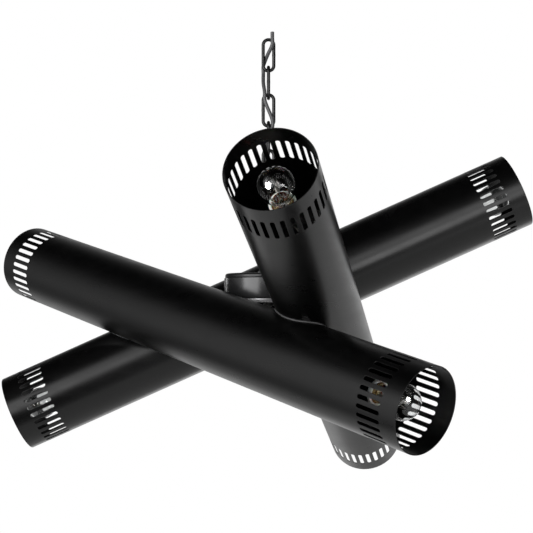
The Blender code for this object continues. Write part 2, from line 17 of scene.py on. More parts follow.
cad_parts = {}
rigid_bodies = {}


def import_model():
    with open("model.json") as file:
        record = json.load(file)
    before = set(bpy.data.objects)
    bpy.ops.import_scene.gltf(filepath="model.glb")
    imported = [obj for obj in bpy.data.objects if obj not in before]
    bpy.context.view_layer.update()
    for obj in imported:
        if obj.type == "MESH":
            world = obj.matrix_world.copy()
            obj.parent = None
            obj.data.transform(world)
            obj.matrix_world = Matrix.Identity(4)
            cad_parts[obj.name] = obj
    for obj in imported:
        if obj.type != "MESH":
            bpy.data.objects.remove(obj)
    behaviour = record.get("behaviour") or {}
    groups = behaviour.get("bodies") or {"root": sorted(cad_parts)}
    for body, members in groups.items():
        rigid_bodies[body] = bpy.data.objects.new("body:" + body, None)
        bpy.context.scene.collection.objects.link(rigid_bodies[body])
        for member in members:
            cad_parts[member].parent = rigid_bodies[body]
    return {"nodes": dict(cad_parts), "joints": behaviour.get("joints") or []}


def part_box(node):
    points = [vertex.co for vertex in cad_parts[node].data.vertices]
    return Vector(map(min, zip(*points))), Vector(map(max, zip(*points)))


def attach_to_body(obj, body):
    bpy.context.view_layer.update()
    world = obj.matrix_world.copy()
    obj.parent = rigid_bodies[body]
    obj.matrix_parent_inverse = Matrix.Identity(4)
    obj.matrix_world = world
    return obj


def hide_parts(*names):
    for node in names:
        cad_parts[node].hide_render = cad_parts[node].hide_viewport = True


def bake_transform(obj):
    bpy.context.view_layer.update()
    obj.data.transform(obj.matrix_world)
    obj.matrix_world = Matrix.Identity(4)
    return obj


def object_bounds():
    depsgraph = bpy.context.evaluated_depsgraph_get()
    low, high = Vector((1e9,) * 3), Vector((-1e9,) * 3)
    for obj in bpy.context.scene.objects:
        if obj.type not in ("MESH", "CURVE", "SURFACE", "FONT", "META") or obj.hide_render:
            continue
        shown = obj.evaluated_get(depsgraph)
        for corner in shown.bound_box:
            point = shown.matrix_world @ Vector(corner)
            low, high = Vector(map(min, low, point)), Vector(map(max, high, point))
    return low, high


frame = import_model()
cad_box = [list(corner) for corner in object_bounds()]
random.seed(11)

MM = 0.001
NODES = frame["nodes"]
JOINTS = {joint["name"]: joint for joint in frame["joints"]}
IDENTITY = Matrix.Identity(4)

# Both ends of each tube: name, and sign along the tube's axis.
MOUTHS = {
    "front": (("left_far", -1), ("right_near", 1)),
    "rear": (("left_low", -1), ("right_high", 1)),
    "side": (("near_high", -1), ("far_low", 1)),
}


# ------------------------------------------------------------------ mesh helpers
def collection_object(name, mesh):
    obj = bpy.data.objects.new(name, mesh)
    bpy.context.scene.collection.objects.link(obj)
    return obj


def shade(mesh, smooth):
    """Smooth shading, with edges sharper than `smooth` degrees left sharp."""
    mesh.shade_smooth()
    mesh.set_sharp_from_angle(angle=math.radians(smooth))


def finish_mesh(name, bm, material, smooth=35.0, recalc=True, matrix=None):
    if recalc:
        bmesh.ops.recalc_face_normals(bm, faces=bm.faces[:])
    if matrix is not None:
        bm.transform(matrix)
    mesh = bpy.data.meshes.new(name)
    bm.to_mesh(mesh)
    bm.free()
    shade(mesh, smooth)
    obj = collection_object(name, mesh)
    if material is not None:
        mesh.materials.append(material)
    return obj


def lathe(name, profile, material, matrix=IDENTITY, steps=96, closed=False, shape=None,
          smooth=35.0):
    """Turns a profile of (radius, height) points round the Z axis."""
    bm = bmesh.new()
    rings = []
    for radius, z in profile:
        if radius < 1e-7:
            rings.append([bm.verts.new((0.0, 0.0, z))])
            continue
        ring = []
        for i in range(steps):
            angle = math.tau * i / steps
            reach = shape(radius, z, angle) if shape else radius
            ring.append(bm.verts.new((reach * math.cos(angle), reach * math.sin(angle), z)))
        rings.append(ring)
    bands = list(pairwise(rings))
    if closed:
        bands.append((rings[-1], rings[0]))
    for one, two in bands:
        for i in range(steps):
            j = (i + 1) % steps
            corners = [one[i % len(one)], one[j % len(one)], two[j % len(two)],
                       two[i % len(two)]]
            # A ring that is a single point on the axis makes triangles.
            corners = list(dict.fromkeys(corners))
            if len(corners) > 2:
                bm.faces.new(corners)
    return finish_mesh(name, bm, material, smooth, matrix=matrix)


def curve_through(points, per_span):
    """A centripetal Catmull-Rom curve through points."""
    knots = [Vector(point) for point in points]
    curve = []
    for i in range(len(knots) - 1):
        start, end = knots[i], knots[i + 1]
        before = knots[i - 1] if i else start * 2 - end
        after = knots[i + 2] if i + 2 < len(knots) else end * 2 - start
        gap_before = max((start - before).length, 1e-6) ** 0.5
        gap = max((end - start).length, 1e-6) ** 0.5
        gap_after = max((after - end).length, 1e-6) ** 0.5
        leaving = ((start - before) / gap_before - (end - before) / (gap_before + gap)
                   + (end - start) / gap) * gap
        arriving = ((end - start) / gap - (after - start) / (gap + gap_after)
                    + (after - end) / gap_after) * gap
        for j in range(per_span):
            along = j / per_span
            square, cube = along * along, along * along * along
            curve.append(start * (2 * cube - 3 * square + 1)
                         + leaving * (cube - 2 * square + along)
                         + end * (-2 * cube + 3 * square) + arriving * (cube - square))
    curve.append(knots[-1])
    return curve


def run_lengths(points, start=0.0):
    """The length travelled at each point of a line."""
    lengths = [start]
    for one, two in pairwise(points):
        lengths.append(lengths[-1] + (two - one).length)
    return lengths


def line_tangents(points, cyclic):
    count = len(points)
    tangents = []
    for i in range(count):
        if cyclic:
            direction = points[(i + 1) % count] - points[i - 1]
        elif i == 0:
            direction = points[1] - points[0]
        elif i == count - 1:
            direction = points[-1] - points[-2]
        else:
            direction = ((points[i + 1] - points[i]).normalized()
                         + (points[i] - points[i - 1]).normalized())
        tangents.append(direction.normalized())
    return tangents


def line_frames(tangents, normal):
    """Two directions across the line at each point, carried along without twist."""
    first = tangents[0]
    across = Vector(normal) if normal is not None else Vector((0, 0, 1)).cross(first)
    if across.length < 1e-4:
        across = Vector((1, 0, 0))
    across = (across - first * across.dot(first)).normalized()
    frames = []
    for i, tangent in enumerate(tangents):
        if i:
            across = tangents[i - 1].rotation_difference(tangent) @ across
            across = (across - tangent * across.dot(tangent)).normalized()
        frames.append((across.copy(), tangent.cross(across)))
    return frames


def cap_ring(bm, ring, tangent, radius):
    """Closes the end of a bar with a small chamfer and a flat face."""
    sides = len(ring)
    centre = sum((vert.co for vert in ring), Vector()) / sides
    inner = [bm.verts.new(centre + (vert.co - centre) * 0.72 + tangent * radius * 0.18)
             for vert in ring]
    for i in range(sides):
        j = (i + 1) % sides
        bm.faces.new((ring[i], ring[j], inner[j], inner[i]))
    bm.faces.new(inner)


def sweep(name, points, radius, material, sides=16, cyclic=False, girth=None, normal=None,
          ends=(True, True), start_length=0.0):
    """A round bar along points, with UVs of (girth turn, length in metres).

    `girth` scales the radius by the length travelled; `ends` says which ends are capped.
    """
    points = [Vector(point) for point in points]
    count = len(points)
    tangents = line_tangents(points, cyclic)
    lengths = run_lengths(points, start_length)
    bm = bmesh.new()
    uv = bm.loops.layers.uv.new("UVMap")
    rings = []
    for i, (point, (across, over)) in enumerate(zip(points, line_frames(tangents, normal))):
        reach = radius if girth is None else radius * girth(lengths[i])
        ring = []
        for j in range(sides):
            angle = math.tau * j / sides
            ring.append(bm.verts.new(point + across * (reach * math.cos(angle))
                                     + over * (reach * math.sin(angle))))
        rings.append(ring)
    for i in range(count if cyclic else count - 1):
        ring, following = rings[i], rings[(i + 1) % count]
        near = lengths[i]
        far = lengths[i + 1] if i + 1 < count else near + (points[0] - points[-1]).length
        for j in range(sides):
            k = (j + 1) % sides
            face = bm.faces.new((ring[j], ring[k], following[k], following[j]))
            corners = ((j, near), (j + 1, near), (j + 1, far), (j, far))
            for loop, (turn, length) in zip(face.loops, corners):
                loop[uv].uv = (turn / sides, length)
    if not cyclic:
        if ends[0]:
            cap_ring(bm, rings[0], -tangents[0], radius)
        if ends[1]:
            cap_ring(bm, rings[-1], tangents[-1], radius)
    return finish_mesh(name, bm, material, 50.0)


def cutter(name, radius, depth, matrix, segments=192):
    bm = bmesh.new()
    bmesh.ops.create_cone(bm, cap_ends=True, cap_tris=False, segments=segments,
                          radius1=radius, radius2=radius, depth=depth)
    obj = finish_mesh(name, bm, None)
    obj.matrix_world = matrix
    return obj


def carve(obj, cutters, smooth):
    """Cuts the cutters out of obj and applies all its modifiers."""
    for tool in cutters:
        cut = obj.modifiers.new("cut", "BOOLEAN")
        cut.operation = "DIFFERENCE"
        cut.solver = "EXACT"
        cut.object = tool
    bpy.context.view_layer.update()
    graph = bpy.context.evaluated_depsgraph_get()
    mesh = bpy.data.meshes.new_from_object(obj.evaluated_get(graph))
    obj.modifiers.clear()
    obj.data = mesh
    mesh.name = obj.name
    shade(mesh, smooth)


def discard(objects):
    for obj in objects:
        bpy.data.objects.remove(obj)


def add_edge_bevel(obj, width):
    bevel = obj.modifiers.new("edge", "BEVEL")
    bevel.width = width
    bevel.segments = 2
    bevel.limit_method = "ANGLE"
    bevel.angle_limit = math.radians(50)
    return bevel


def in_metres(points):
    return [(radius * MM, z * MM) for radius, z in points]


def attach(obj, body, replaced=None):
    """Tells the frame what obj moves with, which CAD node it replaces."""
    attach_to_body(obj, body)
    if replaced:
        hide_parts(replaced)


def keep(node, material):
    """A CAD node that is already the right shape, with a better finish."""
    data = NODES[node].data
    data.materials.clear()
    data.materials.append(material)


# -------------------------------------------------------------- material helpers
class Graph:
    """Adds nodes to a node tree and links them."""

    def __init__(self, tree):
        self.tree = tree

    def put(self, socket, value):
        if isinstance(value, bpy.types.NodeSocket):
            self.tree.links.new(value, socket)
        elif isinstance(value, (tuple, list)) and len(value) == 3 and socket.type == "RGBA":
            socket.default_value = (*value, 1.0)
        else:
            socket.default_value = value

    def node(self, kind, inputs=None, output=0, **settings):
        """A node with inputs given by socket name or number; returns one output."""
        node = self.tree.nodes.new(kind)
        for key, value in settings.items():
            setattr(node, key, value)
        for key, value in (inputs or {}).items():
            self.put(node.inputs[key], value)
        return node.outputs[output]

    def math(self, operation, *values):
        return self.node("ShaderNodeMath", dict(enumerate(values)), operation=operation)


class Paint(Graph):
    """A Principled material and the textures that drive it."""

    def __init__(self, name):
        self.mat = bpy.data.materials.new(name)
        self.mat.use_nodes = True
        super().__init__(self.mat.node_tree)
        self.shader = self.tree.nodes["Principled BSDF"]
        coords = self.tree.nodes.new("ShaderNodeTexCoord")
        self.object = coords.outputs["Object"]
        self.uv = coords.outputs["UV"]
        self.normal = None

    def set(self, **inputs):
        for key, value in inputs.items():
            self.put(self.shader.inputs[key.replace("_", " ")], value)

    def noise(self, scale, detail, rough, vector=None, distortion=0.0):
        return self.node("ShaderNodeTexNoise",
                         {"Vector": vector or self.object, "Scale": scale, "Detail": detail,
                          "Roughness": rough, "Distortion": distortion})

    def cells(self, scale):
        return self.node("ShaderNodeTexVoronoi", {"Vector": self.object, "Scale": scale})

    def stretch(self, x=1.0, y=1.0, z=1.0, source=None):
        return self.node("ShaderNodeMapping",
                         {"Vector": source or self.object, "Scale": (x, y, z)})

    def ramp(self, value, start, end, at_start=0.0, at_end=1.0):
        """A grey that runs from at_start to at_end while value goes from start to end."""
        node = self.tree.nodes.new("ShaderNodeValToRGB")
        self.put(node.inputs["Fac"], value)
        stops = ((start, at_start), (end, at_end))
        for element, (position, grey) in zip(node.color_ramp.elements, stops):
            element.position = position
            element.color = (grey, grey, grey, 1.0)
        return node.outputs[0]

    def spread(self, noise, low, high):
        """Stretches the middle of a noise over the range low to high."""
        return self.node("ShaderNodeMapRange", {"Value": noise, "From Min": 0.3,
                                                "From Max": 0.7, "To Min": low,
                                                "To Max": high})

    def weaken(self, mask, amount):
        return self.math("MULTIPLY", mask, amount)

    def mix(self, factor, under, over):
        return self.node("ShaderNodeMix", {0: factor, 6: under, 7: over}, output=2,
                         data_type="RGBA")

    def bump(self, height, strength, depth_mm):
        """Adds a bump on top of those already made."""
        inputs = {"Height": height, "Strength": strength, "Distance": depth_mm * MM}
        if self.normal is not None:
            inputs["Normal"] = self.normal
        self.normal = self.node("ShaderNodeBump", inputs)
        self.put(self.shader.inputs["Normal"], self.normal)


# --------------------------------------------------------------------- materials
def powder_coat(name, dark, light, rough_low, rough_high, peel=0.07, dust=0.35, metallic=0.0):
    """Satin powder coat: fine orange peel, faint handling marks, a little dust."""
    paint = Paint(name)
    peel_fine = paint.noise(scale=900.0, detail=2.0, rough=0.5)
    peel_wide = paint.noise(scale=240.0, detail=2.0, rough=0.5)
    marks = paint.noise(scale=22.0, detail=5.0, rough=0.6, distortion=0.6)
    streaks = paint.noise(scale=14.0, detail=4.0, rough=0.6, vector=paint.stretch(z=5.0))
    colour = paint.mix(paint.ramp(marks, start=0.35, end=0.75), under=dark, over=light)
    # Dust settles in patches on faces that look up.
    normal = paint.node("ShaderNodeNewGeometry", output="Normal")
    facing_up = paint.node("ShaderNodeSeparateXYZ", {"Vector": normal}, output="Z")
    patches = paint.noise(scale=60.0, detail=6.0, rough=0.7)
    settled = paint.math("MULTIPLY", paint.ramp(facing_up, start=0.45, end=1.0),
                         paint.ramp(patches, start=0.42, end=0.75))
    colour = paint.mix(paint.weaken(settled, amount=dust * 0.12), under=colour,
                       over=(0.20, 0.195, 0.19))
    specks = paint.ramp(paint.cells(scale=420.0), start=0.0, end=0.055, at_start=1.0,
                        at_end=0.0)
    colour = paint.mix(paint.weaken(specks, amount=0.12), under=colour,
                       over=(0.16, 0.16, 0.16))
    rough = paint.math("ADD", paint.spread(streaks, low=rough_low, high=rough_high),
                       paint.weaken(settled, amount=0.10))
    paint.set(Base_Color=colour, Roughness=rough, Metallic=metallic, Specular_IOR_Level=0.5)
    paint.bump(peel_wide, strength=peel, depth_mm=0.20)
    paint.bump(peel_fine, strength=peel, depth_mm=0.08)
    return paint.mat


def tube_coat(key, dark, light, rough_low, rough_high):
    """Nearly black coat of a tube, from two grey levels."""
    return powder_coat(f"tube_coat_{key}", dark=(dark, dark, dark * 1.04),
                       light=(light, light, light * 1.03), rough_low=rough_low,
                       rough_high=rough_high)


def steel_paint(name, dark, light, rough_low, rough_high, scale):
    """Blackened or painted steel, smoother where it is rubbed."""
    paint = Paint(name)
    rub = paint.noise(scale=scale, detail=5.0, rough=0.65)
    fine = paint.noise(scale=scale * 9.0, detail=3.0, rough=0.6)
    paint.set(Base_Color=paint.mix(paint.ramp(rub, start=0.42, end=0.72), under=dark,
                                   over=light),
              Metallic=0.25, Specular_IOR_Level=0.5,
              Roughness=paint.spread(rub, low=rough_high, high=rough_low))
    paint.bump(rub, strength=0.12, depth_mm=0.12)
    paint.bump(fine, strength=0.10, depth_mm=0.05)
    return paint.mat


def bare_metal(name, tint, shadow, rough_low, rough_high, scale, grain_z=1.0, tarnish=None,
               tarnish_amount=0.0):
    paint = Paint(name)
    brushed = paint.noise(scale=scale, detail=4.0, rough=0.6,
                          vector=paint.stretch(z=grain_z))
    cloud = paint.noise(scale=70.0, detail=5.0, rough=0.6)
    colour = paint.mix(paint.ramp(cloud, start=0.35, end=0.7), under=shadow, over=tint)
    if tarnish:
        spots = paint.ramp(paint.noise(scale=190.0, detail=6.0, rough=0.7), start=0.5,
                           end=0.72)
        colour = paint.mix(paint.weaken(spots, amount=tarnish_amount), under=colour,
                           over=tarnish)
    paint.set(Base_Color=colour, Metallic=1.0,
              Roughness=paint.spread(brushed, low=rough_low, high=rough_high))
    paint.bump(brushed, strength=0.10, depth_mm=0.05)
    paint.bump(cloud, strength=0.05, depth_mm=0.2)
    return paint.mat


def cord_jacket():
    """Matt jacket with a fine braided weave of two crossing waves."""
    paint = Paint("cord_jacket")
    waves = [paint.node("ShaderNodeTexWave",
                        {"Vector": paint.stretch(x=slant, y=420.0, source=paint.uv),
                         "Scale": 1.0, "Distortion": 0.0}, bands_direction="DIAGONAL")
             for slant in (6.0, -6.0)]
    weave = paint.math("MAXIMUM", *waves)
    dirt = paint.noise(scale=55.0, detail=5.0, rough=0.6)
    colour = paint.mix(paint.ramp(weave, start=0.2, end=0.9), under=(0.045, 0.045, 0.047),
                       over=(0.105, 0.105, 0.108))
    colour = paint.mix(paint.ramp(dirt, start=0.5, end=0.8, at_end=0.35), under=colour,
                       over=(0.16, 0.16, 0.163))
    paint.set(Base_Color=colour, Roughness=paint.spread(dirt, low=0.26, high=0.40),
              Sheen_Weight=0.25, Sheen_Roughness=0.4)
    paint.bump(weave, strength=0.25, depth_mm=0.15)
    paint.bump(dirt, strength=0.1, depth_mm=0.1)
    return paint.mat


def porcelain_glaze():
    """White body under a clear glaze that pools and dimples a little."""
    paint = Paint("porcelain_glaze")
    pool = paint.noise(scale=35.0, detail=3.0, rough=0.5)
    pits = paint.ramp(paint.cells(scale=520.0), start=0.0, end=0.07)
    stains = paint.noise(scale=260.0, detail=4.0, rough=0.7)
    colour = paint.mix(paint.ramp(pool, start=0.3, end=0.7), under=(0.80, 0.79, 0.76),
                       over=(0.88, 0.88, 0.86))
    colour = paint.mix(paint.ramp(stains, start=0.62, end=0.85, at_end=0.30), under=colour,
                       over=(0.55, 0.52, 0.47))
    paint.set(Base_Color=colour, Roughness=paint.spread(pool, low=0.22, high=0.34),
              Coat_Weight=0.8, Coat_Roughness=0.06, Subsurface_Weight=0.08,
              Subsurface_Scale=0.002)
    paint.bump(pool, strength=0.15, depth_mm=0.3)
    paint.bump(pits, strength=0.08, depth_mm=0.05)
    return paint.mat


def bulb_clear_glass():
    """Clear blown glass: faint draw lines and almost no colour."""
    paint = Paint("bulb_clear_glass")
    draw = paint.noise(scale=30.0, detail=2.0, rough=0.4, vector=paint.stretch(z=3.0))
    film = paint.noise(scale=90.0, detail=5.0, rough=0.6)
    colour = paint.mix(paint.ramp(film, start=0.3, end=0.8), under=(0.985, 0.992, 0.99),
                       over=(0.955, 0.965, 0.965))
    paint.set(Base_Color=colour, Roughness=paint.spread(film, low=0.0, high=0.008),
              IOR=1.50, Transmission_Weight=1.0)
    paint.bump(draw, strength=0.01, depth_mm=0.10)
    return paint.mat


def bulb_stem_glass():
    paint = Paint("bulb_stem_glass")
    film = paint.noise(scale=120.0, detail=4.0, rough=0.6)
    paint.set(Base_Color=paint.mix(film, under=(0.95, 0.97, 0.96), over=(0.90, 0.93, 0.93)),
              Roughness=paint.spread(film, low=0.02, high=0.08), IOR=1.52,
              Transmission_Weight=1.0)
    paint.bump(film, strength=0.05, depth_mm=0.1)
    return paint.mat


def basing_cement():
    """Red-brown cement that holds the glass in its cap."""
    paint = Paint("basing_cement")
    clots = paint.noise(scale=420.0, detail=5.0, rough=0.65)
    colour = paint.mix(paint.ramp(clots, start=0.38, end=0.62), under=(0.10, 0.012, 0.008),
                       over=(0.46, 0.050, 0.022))
    paint.set(Base_Color=colour, Roughness=paint.spread(clots, low=0.45, high=0.65))
    paint.bump(clots, strength=0.4, depth_mm=0.3)
    return paint.mat


def wire_sleeve():
    """Glass-braid sleeve over the harness wires."""
    paint = Paint("wire_sleeve")
    braid = paint.noise(scale=900.0, detail=2.0, rough=0.5, vector=paint.stretch(z=0.4))
    soil = paint.noise(scale=40.0, detail=5.0, rough=0.6)
    colour = paint.mix(paint.ramp(braid, start=0.35, end=0.65), under=(0.50, 0.48, 0.43),
                       over=(0.78, 0.76, 0.71))
    colour = paint.mix(paint.ramp(soil, start=0.5, end=0.8, at_end=0.4), under=colour,
                       over=(0.35, 0.32, 0.27))
    paint.set(Base_Color=colour, Roughness=paint.spread(braid, low=0.7, high=0.9),
              Sheen_Weight=0.3)
    paint.bump(braid, strength=0.4, depth_mm=0.2)
    return paint.mat


def moulded_plastic(name, dark, light, scale, rough_low, rough_high, depth_mm, **extra):
    paint = Paint(name)
    mould = paint.noise(scale=scale, detail=3.0, rough=0.5)
    paint.set(Base_Color=paint.mix(mould, under=dark, over=light),
              Roughness=paint.spread(mould, low=rough_low, high=rough_high), **extra)
    paint.bump(mould, strength=0.15, depth_mm=depth_mm)
    return paint.mat


MAT = {
    "tube_front": tube_coat("front", dark=0.0028, light=0.0048, rough_low=0.265,
                            rough_high=0.325),
    "tube_rear": tube_coat("rear", dark=0.0030, light=0.0052, rough_low=0.215,
                           rough_high=0.270),
    "tube_side": tube_coat("side", dark=0.0028, light=0.0048, rough_low=0.265,
                           rough_high=0.325),
    # Coat pulled thin over every cut edge; its lighter grey is also a painted highlight along
    # the mouth rims and slot ends.
    "tube_edge": powder_coat("tube_edge_coat_painted_highlight", dark=(0.020, 0.020, 0.021),
                             light=(0.050, 0.050, 0.051), rough_low=0.24, rough_high=0.34,
                             dust=0.6),
    # Light grey bead: a painted highlight that stands in for the bright line along each seam.
    "weld": powder_coat("weld_bead_painted_highlight", dark=(0.18, 0.18, 0.184),
                        light=(0.30, 0.30, 0.304), rough_low=0.24, rough_high=0.34,
                        peel=0.25),
    "hub": powder_coat("hub_coat", dark=(0.016, 0.016, 0.0166),
                       light=(0.024, 0.024, 0.0246), rough_low=0.20, rough_high=0.27,
                       peel=0.05, metallic=0.35),
    "lid": powder_coat("hub_lid_coat", dark=(0.020, 0.020, 0.0206),
                       light=(0.032, 0.032, 0.0326), rough_low=0.24, rough_high=0.32,
                       peel=0.06, dust=0.8, metallic=0.35),
    # Light grey plate: a painted highlight that stands in for the lit edge line under the drum.
    "plate": powder_coat("hub_plate_painted_highlight", dark=(0.26, 0.26, 0.264),
                         light=(0.38, 0.38, 0.385), rough_low=0.24, rough_high=0.34,
                         peel=0.06, metallic=0.6),
    "inner_black": powder_coat("holder_cup_black", dark=(0.006, 0.006, 0.006),
                               light=(0.012, 0.012, 0.012), rough_low=0.38,
                               rough_high=0.50),
    "chain": steel_paint("chain_black", dark=(0.007, 0.007, 0.0073),
                         light=(0.015, 0.015, 0.0154), rough_low=0.22, rough_high=0.34,
                         scale=120.0),
    "loop": steel_paint("hang_loop_black", dark=(0.010, 0.010, 0.0105),
                        light=(0.022, 0.022, 0.0225), rough_low=0.32, rough_high=0.44,
                        scale=90.0),
    "cord": cord_jacket(),
    "zinc": bare_metal("zinc_plate", tint=(0.66, 0.66, 0.64), shadow=(0.45, 0.45, 0.44),
                       rough_low=0.26, rough_high=0.42, scale=260.0, grain_z=6.0,
                       tarnish=(0.30, 0.29, 0.27), tarnish_amount=0.25),
    "brass": bare_metal("cap_brass", tint=(0.80, 0.62, 0.33), shadow=(0.60, 0.43, 0.19),
                        rough_low=0.20, rough_high=0.36, scale=420.0,
                        tarnish=(0.28, 0.17, 0.08), tarnish_amount=0.3),
    "copper": bare_metal("shell_copper", tint=(0.92, 0.36, 0.13),
                         shadow=(0.62, 0.17, 0.06), rough_low=0.22, rough_high=0.36,
                         scale=420.0, tarnish=(0.26, 0.04, 0.03), tarnish_amount=0.5),
    "filament": bare_metal("tungsten", tint=(0.46, 0.44, 0.41), shadow=(0.30, 0.28, 0.26),
                           rough_low=0.30, rough_high=0.45, scale=2500.0),
    "porcelain": porcelain_glaze(),
    "glass": bulb_clear_glass(),
    "stem": bulb_stem_glass(),
    "cement": basing_cement(),
    "sleeve": wire_sleeve(),
    "nut": moulded_plastic("wire_nut_plastic", dark=(0.62, 0.20, 0.03),
                           light=(0.82, 0.31, 0.06), scale=160.0, rough_low=0.35,
                           rough_high=0.5, depth_mm=0.1, Subsurface_Weight=0.05,
                           Subsurface_Scale=0.002),
    "bushing": moulded_plastic("bushing_nylon", dark=(0.012, 0.012, 0.012),
                               light=(0.024, 0.024, 0.024), scale=200.0, rough_low=0.42,
                               rough_high=0.58, depth_mm=0.08),
}

# ------------------------------------------------------------------------- tubes
TUBE_R = 59.96 * MM
TUBE_WALL = 1.2 * MM
TUBE_EDGE = 0.28 * MM
COPE_GAP = 0.45 * MM                # round the front tube, where the others are cut to it
CUTTER_REACH = 2.2                  # cutter length in tube half lengths

SLOTS = 30                          # round each end
SLOT_ANGLE = {"front": 3.14, "rear": -5.47, "side": -2.16}    # first slot, degrees
SLOT_R = 3.05 * MM
SLOT_RIM = 0.55 * MM                # narrow band of faces round each slot
SLOT_ARC_STEPS = 8
# Depths from the tube's end.
SLOT_START, SLOT_STOP = 27.5 * MM, 67.5 * MM
ZONE_START, ZONE_STOP = 24.0 * MM, 71.0 * MM
END_LEVELS = [0.0, 0.6 * MM, 8.0 * MM, 16.0 * MM, ZONE_START]
MIDDLE_ROWS = 16

DRILL_R = 5 * MM                    # holes that let the wires into the tubes
WELD_GAP = 0.35 * MM                # bead centre above the tube surfaces
WELD_R = 1.15 * MM


def tube_frame(key):
    """The tube's own frame: Z along its axis, X as far up as it can be."""
    low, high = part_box(f"tube_{key}")
    mouth = MOUTHS[key][1][0]
    axis = Vector(JOINTS[f"bulb_{key}_{mouth}_out"]["axis"]).normalized()
    up = (Vector((0, 0, 1)) - axis * axis.z).normalized()
    turn = Matrix((up, axis.cross(up), axis)).transposed().to_4x4()
    return Matrix.Translation((low + high) / 2) @ turn


def tube_half(key, matrix):
    """Half length: the farthest any corner of the CAD tube lies along its axis."""
    inverse = matrix.inverted()
    return max((inverse @ vert.co).z for vert in NODES[f"tube_{key}"].data.vertices)


TUBES = {key: tube_frame(key) for key in MOUTHS}
HALF = {key: tube_half(key, matrix) for key, matrix in TUBES.items()}


def slot_outline(radius):
    """Points of (sideways, depth) round a slot, from its left on the mouth side."""
    angles = [math.pi * i / SLOT_ARC_STEPS for i in range(SLOT_ARC_STEPS + 1)]
    mouth_end = [(radius * math.cos(math.pi - angle),
                  SLOT_START + SLOT_R - radius * math.sin(math.pi - angle))
                 for angle in angles]
    inner_end = [(radius * math.cos(angle), SLOT_STOP - SLOT_R + radius * math.sin(angle))
                 for angle in angles]
    return mouth_end + inner_end


def slotted_skin(name, half, first):
    """One skin of the tube: slotted bands near both ends and a plain middle."""
    bm = bmesh.new()
    cell = math.tau / SLOTS
    cache = {}

    def vert(angle, z):
        key = (round((angle % math.tau) * 1e5) % round(math.tau * 1e5), round(z * 1e7))
        if key not in cache:
            cache[key] = bm.verts.new((TUBE_R * math.cos(angle), TUBE_R * math.sin(angle), z))
        return cache[key]

    def quad(points, flip):
        corners = [vert(*point) for point in points]
        if len(set(corners)) == 4:
            bm.faces.new(list(reversed(corners)) if flip else corners)

    side = cell * TUBE_R / 2
    across = [-side, -SLOT_R, 0.0, SLOT_R, side]
    border = ([(-side, SLOT_START + SLOT_R), (-side, SLOT_START)]
              + [(x, ZONE_START) for x in across]
              + [(side, SLOT_START), (side, SLOT_START + SLOT_R),
                 (side, SLOT_STOP - SLOT_R), (side, SLOT_STOP)]
              + [(x, ZONE_STOP) for x in reversed(across)]
              + [(-side, SLOT_STOP), (-side, SLOT_STOP - SLOT_R)])
    rings = [slot_outline(SLOT_R), slot_outline(SLOT_R + SLOT_RIM), border]
    middles = [first + cell * i for i in range(SLOTS)]
    for sign in (-1, 1):
        for middle in middles:

            def at(x, depth):
                return (middle + x / TUBE_R, sign * (half - depth))

            for inner, outer in pairwise(rings):
                for i in range(len(border)):
                    j = (i + 1) % len(border)
                    quad([at(*inner[i]), at(*outer[i]), at(*outer[j]), at(*inner[j])],
                         sign < 0)
            for near, far in pairwise(END_LEVELS):
                for left, right in pairwise(across):
                    quad([at(left, near), at(right, near), at(right, far), at(left, far)],
                         sign < 0)
    # The long plain middle.
    span = half - ZONE_STOP
    levels = [-span + 2 * span * i / MIDDLE_ROWS for i in range(MIDDLE_ROWS + 1)]
    slot_turn = SLOT_R / TUBE_R
    turns = (-cell / 2, -slot_turn, 0.0, slot_turn, cell / 2)
    for middle in middles:
        columns = [middle + turn for turn in turns]
        for low, high in pairwise(levels):
            for left, right in pairwise(columns):
                quad([(left, low), (right, low), (right, high), (left, high)], False)
    bmesh.ops.remove_doubles(bm, verts=bm.verts[:], dist=2e-6)
    bmesh.ops.recalc_face_normals(bm, faces=bm.faces[:])
    mesh = bpy.data.meshes.new(name)
    bm.to_mesh(mesh)
    bm.free()
    return collection_object(name, mesh)


def faces_outward(obj):
    """True if the skin's faces look away from the axis."""
    face = obj.data.polygons[0]
    return face.normal.x * face.center.x + face.normal.y * face.center.y > 0


def nearest_to_hub(key):
    """The point of the tube's axis nearest the Z axis."""
    centre = TUBES[key].translation
    axis = TUBES[key].to_3x3() @ Vector((0, 0, 1))
    along = -(centre.x * axis.x + centre.y * axis.y) / (axis.x ** 2 + axis.y ** 2)
    return centre + axis * along


def wire_drill(key):
    """A cutter along Y through the rear tube, or upright through the other tubes."""
    near = nearest_to_hub(key)
    if key == "rear":
        place = (Matrix.Translation((near.x, near.y - 60 * MM, near.z + 16 * MM))
                 @ Matrix.Rotation(math.radians(90), 4, "X"))
        depth = 24 * MM
    else:
        flat = Vector((near.x, near.y, 0)).normalized() * 56 * MM
        place = Matrix.Translation((flat.x, flat.y, -417 * MM))
        depth = 44 * MM
    return cutter(f"wire_drill_{key}", DRILL_R, depth, place, 32)


def tube_cutter(name, key, gap):
    """A cutter the shape of a tube, a gap larger all round."""
    return cutter(name, TUBE_R + gap, CUTTER_REACH * HALF[key], TUBES[key])


def make_tube(key):
    obj = slotted_skin(f"tube_{key}_shade", HALF[key], math.radians(SLOT_ANGLE[key]))
    if not faces_outward(obj):
        obj.data.flip_normals()
    obj.data.materials.append(MAT[f"tube_{key}"])
    obj.data.materials.append(MAT["tube_edge"])
    wall = obj.modifiers.new("wall", "SOLIDIFY")
    wall.thickness = TUBE_WALL
    wall.offset = -1.0
    # The bevel faces take the lighter edge coat, which paints a highlight along the rims and
    # slots.
    add_edge_bevel(obj, TUBE_EDGE).material = 1
    obj.matrix_world = TUBES[key]
    cuts = []
    if key != "front":
        cuts.append(tube_cutter(f"cope_{key}", "front", COPE_GAP))
    cuts.append(wire_drill(key))
    carve(obj, cuts, 40.0)
    obj.data.transform(TUBES[key])
    obj.matrix_world = IDENTITY
    discard(cuts)
    attach(obj, "lamp", f"tube_{key}")


